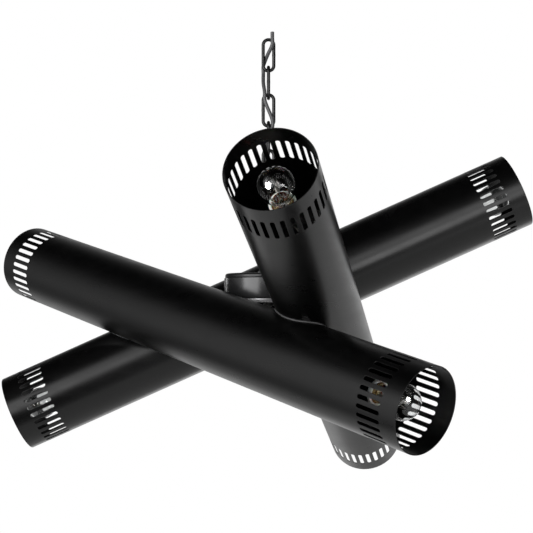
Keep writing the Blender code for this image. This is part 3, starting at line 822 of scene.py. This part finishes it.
def meeting_line(key, other, radius, count=240):
    """Closed line where cylinders of one radius round two tubes' axes meet."""
    start = TUBES[key].translation
    across, over, axis = (TUBES[key].to_3x3() @ Vector(unit)
                          for unit in ((1, 0, 0), (0, 1, 0), (0, 0, 1)))
    other_start = TUBES[other].translation
    other_axis = TUBES[other].to_3x3() @ Vector((0, 0, 1))

    def solve(angle):
        """A point on the first cylinder, and the quadratic for its way to the other."""
        point = start + (across * math.cos(angle) + over * math.sin(angle)) * radius
        offset = point - other_start
        offset = offset - other_axis * offset.dot(other_axis)
        slope = axis - other_axis * axis.dot(other_axis)
        square, linear = slope.dot(slope), 2 * offset.dot(slope)
        constant = offset.dot(offset) - radius * radius
        return point, square, linear, linear * linear - 4 * square * constant

    def meets(angle):
        return solve(angle)[3] > 0

    steps = 1440
    inside = [meets(math.tau * i / steps) for i in range(steps)]
    if not any(inside) or all(inside):
        return []
    first = next(i for i in range(steps) if inside[i] and not inside[i - 1])
    last = first
    while inside[(last + 1) % steps]:
        last += 1

    def edge(outer, inner):
        """The limiting angle between one that misses and one that meets."""
        for _ in range(40):
            middle = (outer + inner) / 2
            if meets(middle):
                inner = middle
            else:
                outer = middle
        return inner

    low = edge(math.tau * (first - 1) / steps, math.tau * first / steps)
    high = edge(math.tau * (last + 1) / steps, math.tau * last / steps)
    line = []
    for i in range(count):
        turn = math.tau * i / count
        angle = (low + high) / 2 - (high - low) / 2 * math.cos(turn)
        point, square, linear, discriminant = solve(angle)
        root = math.sqrt(max(discriminant, 0.0)) * (-1 if turn < math.pi else 1)
        line.append(point + axis * ((-linear + root) / (2 * square)))
    return line


def even(points, count):
    """The same closed line with evenly spaced points."""
    closed = points + [points[0]]
    run = run_lengths(closed)
    spaced, j = [], 0
    for i in range(count):
        want = run[-1] * i / count
        while run[j + 1] < want:
            j += 1
        part = (want - run[j]) / max(run[j + 1] - run[j], 1e-9)
        spaced.append(closed[j].lerp(closed[j + 1], part))
    return spaced


def weld_ripple(length):
    """Fine ripples along the bead over a slower swell."""
    return (1.0 + 0.10 * math.sin(length * math.tau / (2.6 * MM))
            + 0.05 * math.sin(length * math.tau / (11.0 * MM)))


def make_weld(key, other):
    line = meeting_line(key, other, TUBE_R + WELD_GAP)
    # Tubes that don't meet have no bead.
    if not line:
        return
    bead = sweep(f"weld_bead_{key}_{other}", even(line, 420), WELD_R, MAT["weld"], sides=10,
                 cyclic=True, girth=weld_ripple)
    attach(bead, "lamp")


for tube in TUBES:
    make_tube(tube)
make_weld("side", "front")
make_weld("rear", "front")

# --------------------------------------------------------------------- the hub
HUB_TUBE_GAP = 0.55 * MM            # between the hub pieces and the tubes
LID_R = 66.4                        # mm
LID_ROUND_R, LID_ROUND_Z = 3.9, 3.6     # rounding of the lid's edge, mm
LID_THICK = 2.8                     # mm
HUB_R = 67.95                       # mm

lid_low, lid_high = (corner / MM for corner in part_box("hub_lid"))
drum_low, drum_high = (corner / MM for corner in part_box("hub_drum"))
plate_low, plate_high = (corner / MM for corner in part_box("hub_base_plate"))
bush_low, bush_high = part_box("cord_bushing")
cord_entry = (bush_low + bush_high) / 2


# The hub profiles are (radius, height) in mm.
def lid_profile():
    top, low = lid_high.z, lid_low.z
    angles = [math.radians(degrees) for degrees in (0, 15, 30, 45, 60, 75, 90)]
    edge = [(LID_R - LID_ROUND_R + LID_ROUND_R * math.sin(angle),
             top - LID_ROUND_Z + LID_ROUND_Z * math.cos(angle)) for angle in angles]
    return ([(0, top), (58.0, top)] + edge
            + [(66.55, low + 0.5), (66.3, low), (64.5, low), (64.2, low + 0.3),
               (63.6, top - 3.8), (60.5, top - LID_THICK), (0, top - LID_THICK)])


def drum_profile():
    top, low = drum_high.z, drum_low.z
    return [(67.6, top), (67.9, top - 0.3), (HUB_R, top - 0.8), (HUB_R, low + 1.2),
            (67.75, low + 0.4), (67.2, low), (59.0, low), (59.0, low + 2),
            (66.0, low + 2), (66.0, top - 0.3), (66.3, top)]


def plate_profile():
    top, low = plate_high.z, plate_low.z
    return [(0, top), (63.2, top), (63.5, top - 0.3), (63.5, top - 2.3),
            (67.0, top - 2.3), (67.6, top - 2.5), (HUB_R, top - 3.0),
            (HUB_R, low + 1.0), (67.6, low + 0.3), (66.9, low), (0, low)]


def hub_piece(node, profile, material, cuts, closed=False):
    obj = lathe(f"{node}_skin", in_metres(profile), material, steps=144, closed=closed)
    carve(obj, cuts, 32.0)
    attach(obj, "lamp", node)


def make_hub():
    """Lid, drum and base plate, cut to clear the tubes, the nipple and the wires."""
    clear = {key: tube_cutter(f"clear_{key}", key, HUB_TUBE_GAP) for key in TUBES}
    centre_hole = cutter("hub_centre_hole", 5.5 * MM, 60 * MM,
                         Matrix.Translation((0, 0, -385 * MM)), 48)
    cord_hole = cutter("cord_hole", 5.2 * MM, 16 * MM,
                       Matrix.Translation((cord_entry.x, cord_entry.y, lid_high.z * MM)), 48)
    drills = [wire_drill("front"), wire_drill("side")]
    hub_piece("hub_lid", lid_profile(), MAT["lid"],
              [centre_hole, cord_hole, clear["rear"]])
    hub_piece("hub_drum", drum_profile(), MAT["hub"],
              [clear["rear"], clear["side"], clear["front"]], closed=True)
    hub_piece("hub_base_plate", plate_profile(), MAT["plate"],
              [centre_hole, clear["rear"], clear["side"], clear["front"]] + drills)
    discard(list(clear.values()) + drills + [centre_hole, cord_hole])


make_hub()

# ------------------------------------------------------------------ hanging loop
RING_R, RING_WIRE = 13.0 * MM, 3.0 * MM
RING_STEPS = 96
ring_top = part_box("hang_loop")[1].z

# Turned neck under the ring: (radius, height) in mm.
NECK_PROFILE = [
    (0.0, -320.6), (3.4, -320.8), (5.0, -322.6), (5.7, -325.5), (6.0, -328.5),
    (6.6, -331.4), (8.2, -333.8), (10.0, -335.8), (11.0, -338.6), (11.2, -341.0),
    (10.6, -343.6), (9.4, -345.6), (9.0, -347.0), (9.6, -349.2), (11.6, -351.6),
    (14.0, -353.8), (15.6, -355.2), (16.0, -356.4), (16.0, -358.0), (15.8, -358.2),
    (5.6, -358.2), (5.6, -336.0), (0.0, -336.0),
]


def make_hang_loop():
    """Forged ring, in the YZ plane, on a turned neck."""
    ring_z = ring_top - RING_R - RING_WIRE
    angles = [math.tau * i / RING_STEPS for i in range(RING_STEPS)]
    points = [(0.0, RING_R * math.sin(angle), ring_z + RING_R * math.cos(angle))
              for angle in angles]
    ring = sweep("hang_loop_ring", points, RING_WIRE, MAT["loop"], sides=24, cyclic=True,
                 normal=(1, 0, 0))
    neck = lathe("hang_loop_neck", in_metres(NECK_PROFILE), MAT["loop"], steps=72,
                 smooth=40.0)
    attach(ring, "lamp")
    attach(neck, "lamp")
    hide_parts("hang_loop")


def make_bushing():
    """Flanged ring that lines the cord's hole in the lid."""
    top, seat, low = bush_high.z, lid_high.z * MM + 0.3 * MM, bush_low.z
    flange_r, barrel_r, bore_r = 6.6 * MM, 4.7 * MM, 3.3 * MM
    profile = [(6.0 * MM, top), (6.5 * MM, top - 0.5 * MM), (flange_r, top - 1.1 * MM),
               (flange_r, seat), (barrel_r, seat), (barrel_r, low), (bore_r, low),
               (bore_r, top - 0.8 * MM), (3.7 * MM, top - 0.1 * MM), (4.2 * MM, top)]
    bushing = lathe("cord_bushing_skin", profile, MAT["bushing"],
                    Matrix.Translation((cord_entry.x, cord_entry.y, 0)), steps=48,
                    closed=True)
    attach(bushing, "lamp", "cord_bushing")


make_hang_loop()
keep("hub_nipple", MAT["zinc"])
keep("hub_lock_nut", MAT["zinc"])
keep("wire_nut_1", MAT["nut"])
keep("wire_nut_2", MAT["nut"])
make_bushing()

# ------------------------------------------------------------------------- chain
LINKS = 7
WIRE_R = 2.6 * MM
# Height of the faceted CAD wire where a link bends.
CAD_CROWN = 2 * WIRE_R * math.cos(math.pi / 8) * math.cos(math.pi / 10)
BEND_STEPS, LEG_STEPS = 24, 12
SEAM_SWELL, SEAM_LENGTH = 0.09, 1.6 * MM


def make_link(number):
    """One link; returns the height of its inner top."""
    low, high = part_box(f"chain_link_{number}")
    inner_top, inner_low = high.z - CAD_CROWN, low.z + CAD_CROWN
    in_xz = number % 2 == 1                     # the others lie in the YZ plane
    half_width = (high.x - low.x) / 2 if in_xz else (high.y - low.y) / 2
    bend = half_width - WIRE_R
    top = inner_top + WIRE_R - bend
    bottom = inner_low - WIRE_R + bend

    def arc(start, height):
        angles = [start + math.pi * i / BEND_STEPS for i in range(BEND_STEPS + 1)]
        return [(bend * math.cos(angle), height + bend * math.sin(angle))
                for angle in angles]

    def leg(side, start, end):
        return [(side, start + (end - start) * i / LEG_STEPS) for i in range(1, LEG_STEPS)]

    def in_plane(side, z):
        return Vector((side, 0, z)) if in_xz else Vector((0, side, z))

    path = arc(0.0, top) + leg(-bend, top, bottom) + arc(math.pi, bottom) \
        + leg(bend, bottom, top)
    points = [in_plane(side, z) for side, z in path]
    # The butt weld of each link shows as a slight swelling halfway down one leg.
    seam = in_plane(bend if number % 4 < 2 else -bend, (top + bottom) / 2)
    nearest = min(range(len(points)), key=lambda i: (points[i] - seam).length)
    seam_run = run_lengths(points)[nearest]

    def swell(length):
        return 1.0 + SEAM_SWELL * math.exp(-((length - seam_run) / SEAM_LENGTH) ** 2)

    link = sweep(f"chain_link_{number}_wire", points, WIRE_R, MAT["chain"], sides=20,
                 cyclic=True, girth=swell, normal=(0, 1, 0) if in_xz else (1, 0, 0))
    attach(link, f"chain_link_{number}", f"chain_link_{number}")
    return inner_top


crowns = [make_link(number) for number in range(1, LINKS + 1)]

# -------------------------------------------------------------------------- cord
PITCH = crowns[0] - crowns[1]
CORD_R = 2.85 * MM
CORD_OFF = 5.9 * MM                 # sideways from the chain's centre, in x and in y
# Where the cord passes each crossing of links, as (x, y) in steps of CORD_OFF.
CORNERS = [(1, -1), (-1.35, 1), (-1, -1), (1, -1), (-1, 1), (1, 1), (-1, -1), (1.1, -1)]
CORNER_REACH = 5.5                  # straight run above and below a crossing, mm


def crossing_height(index):
    return crowns[0] - index * PITCH - 0.2 * MM


def cord_line():
    """Down the chain, through the bushing and into the hub."""
    cord_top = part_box("power_cord")[1].z
    points = [Vector((CORD_OFF, -CORD_OFF, cord_top - 0.6 * MM))]
    for i, (side_x, side_y) in enumerate(CORNERS):
        crossing = crossing_height(i)
        for rise in (CORNER_REACH, -CORNER_REACH):
            points.append(Vector((side_x * CORD_OFF, side_y * CORD_OFF,
                                  crossing + rise * MM)))
        if i == 0:
            points.append(Vector((-1.0 * MM, 0.0, crossing - 20 * MM)))
            points.append(Vector((-CORD_OFF, CORD_OFF, crossing - 31 * MM)))
        if i == 1:
            points.append(Vector((side_x * CORD_OFF, 0.0, crossing - PITCH / 2)))
    x, y = cord_entry.x, cord_entry.y
    points += [Vector((9.5 * MM, -6.5 * MM, -318 * MM)),
               Vector((x - 3.5 * MM, y + 0.5 * MM, -338 * MM)),
               Vector((x, y, -350 * MM)),
               Vector((x, y, -372 * MM)),
               Vector((x - 4 * MM, y + 8 * MM, -381 * MM))]
    return curve_through(points, 8)


def split_at(points, heights):
    """Cuts a falling line at the given heights; neighbours share their end point."""
    parts, current = [], [points[0]]
    wanted = list(heights)
    for point in points[1:]:
        current.append(point)
        if wanted and point.z <= wanted[0]:
            parts.append(current)
            current = [point]
            wanted.pop(0)
    parts.append(current)
    return parts


def carried_guide(guide, part):
    """The section's direction at the end of a part, so neighbours meet without a step."""
    tangents = [(two - one).normalized() for one, two in pairwise(part)]
    guide = guide - tangents[0] * guide.dot(tangents[0])
    for one, two in pairwise(tangents):
        guide = one.rotation_difference(two) @ guide
    return guide


def make_cord():
    """One piece per link: the first rides the top link, the last the lamp, and those between
    are left unattached.
    """
    middles = [crowns[0] - (i + 0.5) * PITCH for i in range(LINKS)] + [ring_top - 18 * MM]
    parts = split_at(cord_line(), middles)
    guide = Vector((1, 0, 0))
    length = 0.0
    for index, part in enumerate(parts):
        last = index == len(parts) - 1
        piece = sweep(f"power_cord_{index + 1}", part, CORD_R, MAT["cord"], sides=20,
                      normal=guide, ends=(index == 0, last), start_length=length)
        length = run_lengths(part, length)[-1]
        guide = carried_guide(guide, part)
        if index == 0:
            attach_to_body(piece, "chain_link_1")
            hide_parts("power_cord")
        elif last:
            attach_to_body(piece, "lamp")
        else:
            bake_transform(piece)


make_cord()

# ------------------------------------------------------- lamp holders and bulbs
# All in mm, by depth from the tube's mouth; outlines are (radius, depth).
GLOBE_R, GLOBE_DEPTH = 25.0, 40.0
GLOBE_ARC, GLOBE_STEPS = math.radians(150.0), 28
GLASS_WALL = 0.7
GLASS_NECK = [(12.75, 63.8), (12.5, 66.2), (12.3, 69.0), (12.2, 73.0), (12.1, 86.0)]

THREAD_PITCH, THREAD_FADE = 3.6, 1.5
THREAD_STEP = 0.5                   # depth between the rows of a threaded wall
CAP_FRONT = [(0.0, 99.5), (5.0, 99.5), (12.4, 96.6), (12.4, 74.5), (12.75, 74.5)]
CAP_THREAD = [(12.9, 75.0 + THREAD_STEP * i) for i in range(45)]
CAP_BACK = [(12.5, 97.8), (10.6, 99.4), (6.2, 102.3), (4.2, 102.9), (4.1, 104.4),
            (3.4, 104.9), (0.0, 105.0)]
STEM = [(0.0, 61.0), (1.6, 61.4), (2.2, 63.0), (2.4, 67.0), (2.9, 74.0), (4.2, 81.0),
        (7.0, 87.0), (11.0, 91.5), (11.0, 92.3), (0.0, 92.3)]

# Wires inside the bulb: (x, y, depth).
FILAMENT_RUN = [(-9, 0, 50), (-7, 0, 34), (-3.5, 0, 48), (0, 0, 33), (3.5, 0, 48),
                (7, 0, 34), (9, 0, 50)]
SUPPORT_TIPS = [(-7.0, 34.0), (0.0, 33.0), (7.0, 34.0)]     # (x, depth)
LEAD_R, SUPPORT_R, FILAMENT_R = 0.42, 0.22, 0.16
COIL_R, COIL_PITCH = 0.55, 0.95

COLLAR = [
    (14.6, 92.0), (14.6, 81.6), (14.8, 80.8), (15.3, 80.25), (16.0, 80.0), (16.8, 80.0),
    (17.6, 80.2), (18.15, 80.8), (18.4, 81.7), (18.4, 85.6), (18.2, 86.1), (17.7, 86.3),
    (17.7, 92.0),
]
CUP = [
    (17.8, 86.5), (18.35, 86.5), (18.4, 87.0), (18.4, 92.0), (18.1, 96.0), (17.4, 104.0),
    (16.9, 110.0), (16.5, 113.2), (15.8, 113.9), (14.8, 114.0), (0.0, 114.0), (0.0, 109.0),
    (14.6, 109.0), (14.6, 92.4), (17.8, 92.4),
]
SHELL_ROWS = 49
SHELL = ([(14.05, 82.0 + THREAD_STEP * i) for i in range(SHELL_ROWS)]
         + [(13.80, 106.0 - THREAD_STEP * i) for i in range(SHELL_ROWS)])


def mouth_frame(key, sign):
    """A frame at the tube's mouth with +Z out of the tube."""
    turn = Matrix.Rotation(0.0 if sign > 0 else math.pi, 4, "X")
    return TUBES[key] @ Matrix.Translation((0, 0, sign * HALF[key])) @ turn


def deep(points):
    return [(radius * MM, -depth * MM) for radius, depth in points]


def thread(height, first, last):
    """A rolled thread of the given height between two depths."""
    def shape(radius, z, angle):
        depth = -z / MM
        fade = min(1.0, max(0.0, (depth - first) / THREAD_FADE),
                   max(0.0, (last - depth) / THREAD_FADE))
        phase = math.tau * depth / THREAD_PITCH - angle
        return radius + height * MM * math.sin(phase) * fade
    return shape


def bulb_glass(end, place):
    def wall(inset):
        radius = GLOBE_R - inset
        angles = [GLOBE_ARC * i / GLOBE_STEPS for i in range(GLOBE_STEPS + 1)]
        return [(radius * math.sin(angle), GLOBE_DEPTH - radius * math.cos(angle))
                for angle in angles] + [(neck - inset, depth) for neck, depth in GLASS_NECK]

    outline = wall(0.0) + list(reversed(wall(GLASS_WALL)))
    return lathe(f"bulb_glass_{end}_blown", deep(outline), MAT["glass"], place, smooth=60.0)


def bulb_cap(end, place):
    """Threaded brass cap; the faces inside its wall are cement."""
    cap = lathe(f"bulb_cap_{end}_rolled", deep(CAP_FRONT + CAP_THREAD + CAP_BACK),
                MAT["brass"], place, 72, shape=thread(height=0.34, first=77.0, last=96.5),
                smooth=50.0)
    cap.data.materials.append(MAT["cement"])
    local = place.inverted()
    for face in cap.data.polygons:
        spot = local @ face.center
        if math.hypot(spot.x, spot.y) < 12.5 * MM and -98.0 * MM < spot.z < -75.0 * MM:
            face.material_index = 1
    return cap


def bulb_wire(name, points, radius, sides, place):
    placed = [place @ Vector((point.x * MM, point.y * MM, -point.z * MM))
              for point in points]
    return sweep(name, placed, radius * MM, MAT["filament"], sides=sides)


def filament_coil():
    """A fine coil wound along the zigzag of the filament."""
    coil, turn = [], 0.0
    for one, two in pairwise(curve_through(FILAMENT_RUN, 40)):
        step = two - one
        side = Vector((step.z, 0, -step.x)).normalized()
        turn += step.length / COIL_PITCH * math.tau
        coil.append(one + side * (COIL_R * math.cos(turn))
                    + Vector((0, 1, 0)) * (COIL_R * math.sin(turn)))
    return coil


def bulb_wires(end, place):
    """Two leads, three supports and, last, the filament."""
    wires = []
    for i, side in enumerate((-1, 1)):
        lead = curve_through([(side * 2.5, 0, 92), (side * 2.3, 0, 76), (side * 2.5, 0, 60),
                              (side * 6.0, 0, 54.5), (side * 9.0, 0, 50.0)], 6)
        wires.append(bulb_wire(f"bulb_lead_{end}_{i + 1}", lead, LEAD_R, 8, place))
    for i, (x, depth) in enumerate(SUPPORT_TIPS):
        support = curve_through([(0.0, 0, 62.5), (x * 0.35, 0, 51.0), (x, 0, depth - 0.6)],
                                5)
        wires.append(bulb_wire(f"bulb_support_{end}_{i + 1}", support, SUPPORT_R, 6, place))
    wires.append(bulb_wire(f"bulb_filament_{end}_coil", filament_coil(), FILAMENT_R, 5,
                           place))
    return wires


def make_bulb(end, place):
    glass = bulb_glass(end, place)
    cap = bulb_cap(end, place)
    stem = lathe(f"bulb_stem_{end}", deep(STEM), MAT["stem"], place, 48)
    wires = bulb_wires(end, place)
    for piece in [glass, cap, stem] + wires:
        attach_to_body(piece, f"bulb_{end}")
    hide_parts(f"bulb_glass_{end}")
    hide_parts(f"bulb_cap_{end}")
    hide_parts(f"bulb_filament_{end}")


def make_holder(end, place):
    """A glazed collar and the copper screw shell, in a black cup on the CAD bracket."""
    collar = lathe(f"socket_body_{end}_glazed", deep(COLLAR), MAT["porcelain"], place,
                   closed=True, smooth=50.0)
    cup = lathe(f"socket_cup_{end}", deep(CUP), MAT["inner_black"], place, 72, closed=True,
                smooth=40.0)
    shell = lathe(f"socket_shell_{end}_rolled", deep(SHELL), MAT["copper"], place, 72,
                  closed=True, shape=thread(height=0.22, first=83.0, last=105.0),
                  smooth=50.0)
    attach(cup, "lamp")
    attach(collar, "lamp", f"socket_body_{end}")
    attach(shell, "lamp", f"socket_shell_{end}")
    keep(f"socket_bracket_{end}", MAT["inner_black"])
    add_edge_bevel(NODES[f"socket_bracket_{end}"], 0.3 * MM)


for tube in TUBES:
    keep(f"wire_harness_{tube}", MAT["sleeve"])
    for mouth_name, mouth_sign in MOUTHS[tube]:
        mouth_place = mouth_frame(tube, mouth_sign)
        make_bulb(f"{tube}_{mouth_name}", mouth_place)
        make_holder(f"{tube}_{mouth_name}", mouth_place)

# ------------------------------------------------------------------------ camera
EYE = Vector((-3.1, -2128.27, -422.04)) * MM
VIEW = Vector((0.0, 0.999395, 0.0349))      # two degrees upward


def aim(obj, position, target):
    obj.location = position
    obj.rotation_euler = (Vector(target) - Vector(position)).to_track_quat("-Z", "Y").to_euler()


def make_camera():
    camera = collection_object("camera", bpy.data.cameras.new("camera"))
    camera.data.lens = 93.68
    camera.data.sensor_width = 36.0
    camera.data.clip_start = 0.05
    camera.data.clip_end = 60.0
    aim(camera, EYE, EYE + VIEW)
    bpy.context.scene.camera = camera


make_camera()

# ------------------------------------------------------------------------ lights
HEART = Vector((0.0, 0.0, -0.40))           # the point all lamps are aimed at


def toward(azimuth, elevation):
    """A direction seen from the lamp: azimuth from the viewer's side, right positive."""
    around, above = math.radians(azimuth), math.radians(elevation)
    return Vector((math.sin(around) * math.cos(above), -math.cos(around) * math.cos(above),
                   math.sin(above)))


def round_light(name, azimuth, elevation, distance, size, power, receivers):
    """A round diffused lamp that only the given pieces pick up."""
    light = bpy.data.lights.new(name, "AREA")
    light.shape = "DISK"
    light.size = size
    light.energy = power
    obj = collection_object(name, light)
    aim(obj, HEART + toward(azimuth, elevation) * distance, HEART)
    obj.visible_camera = False
    group = bpy.data.collections.new(name + "_receivers")
    for piece in receivers:
        group.objects.link(piece)
    obj.light_linking.receiver_collection = group


def make_lights():
    objects = list(bpy.context.scene.objects)
    glass = [obj for obj in objects if obj.name.endswith("_blown")]
    near_glass = [obj for obj in glass if obj.name == "bulb_glass_front_right_near_blown"]
    sockets = [obj for obj in objects if obj.name.startswith("socket_")
               and obj.name.endswith(("_glazed", "_rolled"))]
    hub = [obj for obj in objects if obj.name.startswith(("hub_", "hang_loop"))
           and not obj.name.startswith("hub_lid") and not obj.hide_render]
    lid = [obj for obj in objects if obj.name.startswith("hub_lid") and not obj.hide_render]
    chain = [obj for obj in objects if obj.name.startswith("power_cord_")
             or obj.name.endswith("_wire")]
    rear = [obj for obj in objects if obj.name == "tube_rear_shade"]
    # Name, azimuth and elevation (degrees), distance and size (m), power (W), receivers.
    lights = [
        ("glass_lamp", -42.0, 1.5, 2.4, 1.60, 205.0, glass),
        ("glass_lamp_near", 30.0, 12.0, 2.4, 1.05, 85.0, near_glass),
        ("socket_lamp_left", -18.0, 27.0, 1.6, 0.50, 30.0, sockets),
        ("socket_lamp_right", 46.0, -14.0, 1.6, 0.50, 30.0, sockets),
        ("hub_lamp", -45.0, 4.0, 2.0, 1.6, 42.0, hub),
        ("lid_lamp", -45.0, 4.0, 2.0, 1.6, 22.0, lid),
        ("hub_back_lamp", -132.0, 4.0, 2.0, 0.6, 5.0, hub),
        ("chain_lamp", -32.0, 8.0, 2.0, 1.4, 24.0, chain),
        ("rear_lamp", 14.0, -9.0, 3.0, 0.95, 6.0, rear),
    ]
    for light in lights:
        round_light(*light)


make_lights()

# ------------------------------------------------------------------------- world
# Soft studio surround: wide diffused lamps as smooth patches of light
# (azimuth, elevation, tightness, brightness); the camera itself sees plain white.
PATCHES = [
    (-28.8, 20.4, 80, 3.38), (-16.2, 8.8, 80, 2.96),
    (19.8, -3.3, 80, 2.83), (8.1, 9.0, 80, 2.62),
    (-65.4, 18.1, 80, 2.56), (-64.4, 6.2, 80, 1.65),
    (156.8, -29.6, 14, 0.93), (-147.9, -35.3, 14, 0.82),
    (-66.5, 30.1, 80, 0.81), (37.9, -35.9, 14, 0.81),
    (-83.7, -11.2, 14, 0.78), (-4.0, 9.0, 80, 0.67),
    (87.5, -47.3, 14, 0.55), (150.7, 9.2, 14, 0.54),
    (-73.4, 13.2, 14, 0.45), (170.1, -5.8, 14, 0.43),
    (70.4, -27.4, 14, 0.38), (-177.5, 18.0, 14, 0.37),
    (177.7, -47.2, 14, 0.33), (-169.4, -20.3, 14, 0.32),
    (140.7, -59.9, 14, 0.29), (137.1, -13.6, 14, 0.21),
    (-16.5, 20.8, 80, 0.14), (-63.5, -5.8, 80, 0.10),
    (163.7, 35.0, 14, 0.05),
]
BRIGHTNESS = 0.90                   # of all patches together


def make_world():
    world = bpy.data.worlds.new("studio")
    bpy.context.scene.world = world
    world.use_nodes = True
    graph = Graph(world.node_tree)
    direction = graph.node("ShaderNodeTexCoord", output="Generated")
    total = 0.0
    for azimuth, elevation, tight, bright in PATCHES:
        facing = graph.node("ShaderNodeVectorMath",
                            {0: direction, 1: toward(azimuth, elevation)}, output="Value",
                            operation="DOT_PRODUCT")
        lobe = graph.math("EXPONENT", graph.math("MULTIPLY_ADD", facing, tight, -tight))
        total = graph.math("MULTIPLY_ADD", lobe, bright * BRIGHTNESS, total)
    seen = graph.node("ShaderNodeLightPath", output="Is Camera Ray")
    strength = graph.node("ShaderNodeMix", {0: seen, 2: total, 3: 1.0}, data_type="FLOAT")
    background = graph.tree.nodes["Background"]
    graph.put(background.inputs["Color"], (1, 1, 1))
    graph.put(background.inputs["Strength"], strength)
    world.cycles.sampling_method = "MANUAL"
    world.cycles.sample_map_resolution = 512


make_world()

# ------------------------------------------------------------------------- floor
FLOOR_CENTRE = (0.0, 0.1, cad_box[0][2] - 1.35)
FLOOR_HALF = 1.8


def floor_pale():
    """Pale floor that fades to plain white away from its centre, for the camera only."""
    paint = Paint("floor_pale")
    grain = paint.noise(scale=6.0, detail=4.0, rough=0.5)
    paint.set(Base_Color=paint.mix(grain, under=(0.82, 0.82, 0.815),
                                   over=(0.87, 0.87, 0.865)),
              Roughness=0.85)
    position = paint.node("ShaderNodeNewGeometry", output="Position")
    reach = paint.node("ShaderNodeVectorMath", {0: position, 1: FLOOR_CENTRE},
                       output="Value", operation="DISTANCE")
    fade = paint.node("ShaderNodeMapRange",
                      {"Value": reach, "From Min": 0.5, "From Max": 1.7, "To Min": 0.45,
                       "To Max": 1.0}, interpolation_type="SMOOTHSTEP")
    camera_ray = paint.node("ShaderNodeLightPath", output="Is Camera Ray")
    seen = paint.math("MULTIPLY", camera_ray, fade)
    blend = paint.node("ShaderNodeMixShader", {0: seen, 1: paint.shader.outputs[0],
                                               2: paint.node("ShaderNodeEmission")})
    paint.put(paint.tree.nodes["Material Output"].inputs["Surface"], blend)
    return paint.mat


def make_floor():
    bm = bmesh.new()
    bmesh.ops.create_grid(bm, x_segments=8, y_segments=8, size=FLOOR_HALF)
    floor = finish_mesh("floor", bm, floor_pale(), recalc=False,
                        matrix=Matrix.Translation(FLOOR_CENTRE))
    round_light("floor_lamp", azimuth=0.0, elevation=89.9, distance=2.2, size=4.0,
                power=110.0, receivers=[floor])


make_floor()
bpy.context.scene.view_settings.view_transform = "Standard"

bpy.context.view_layer.update()
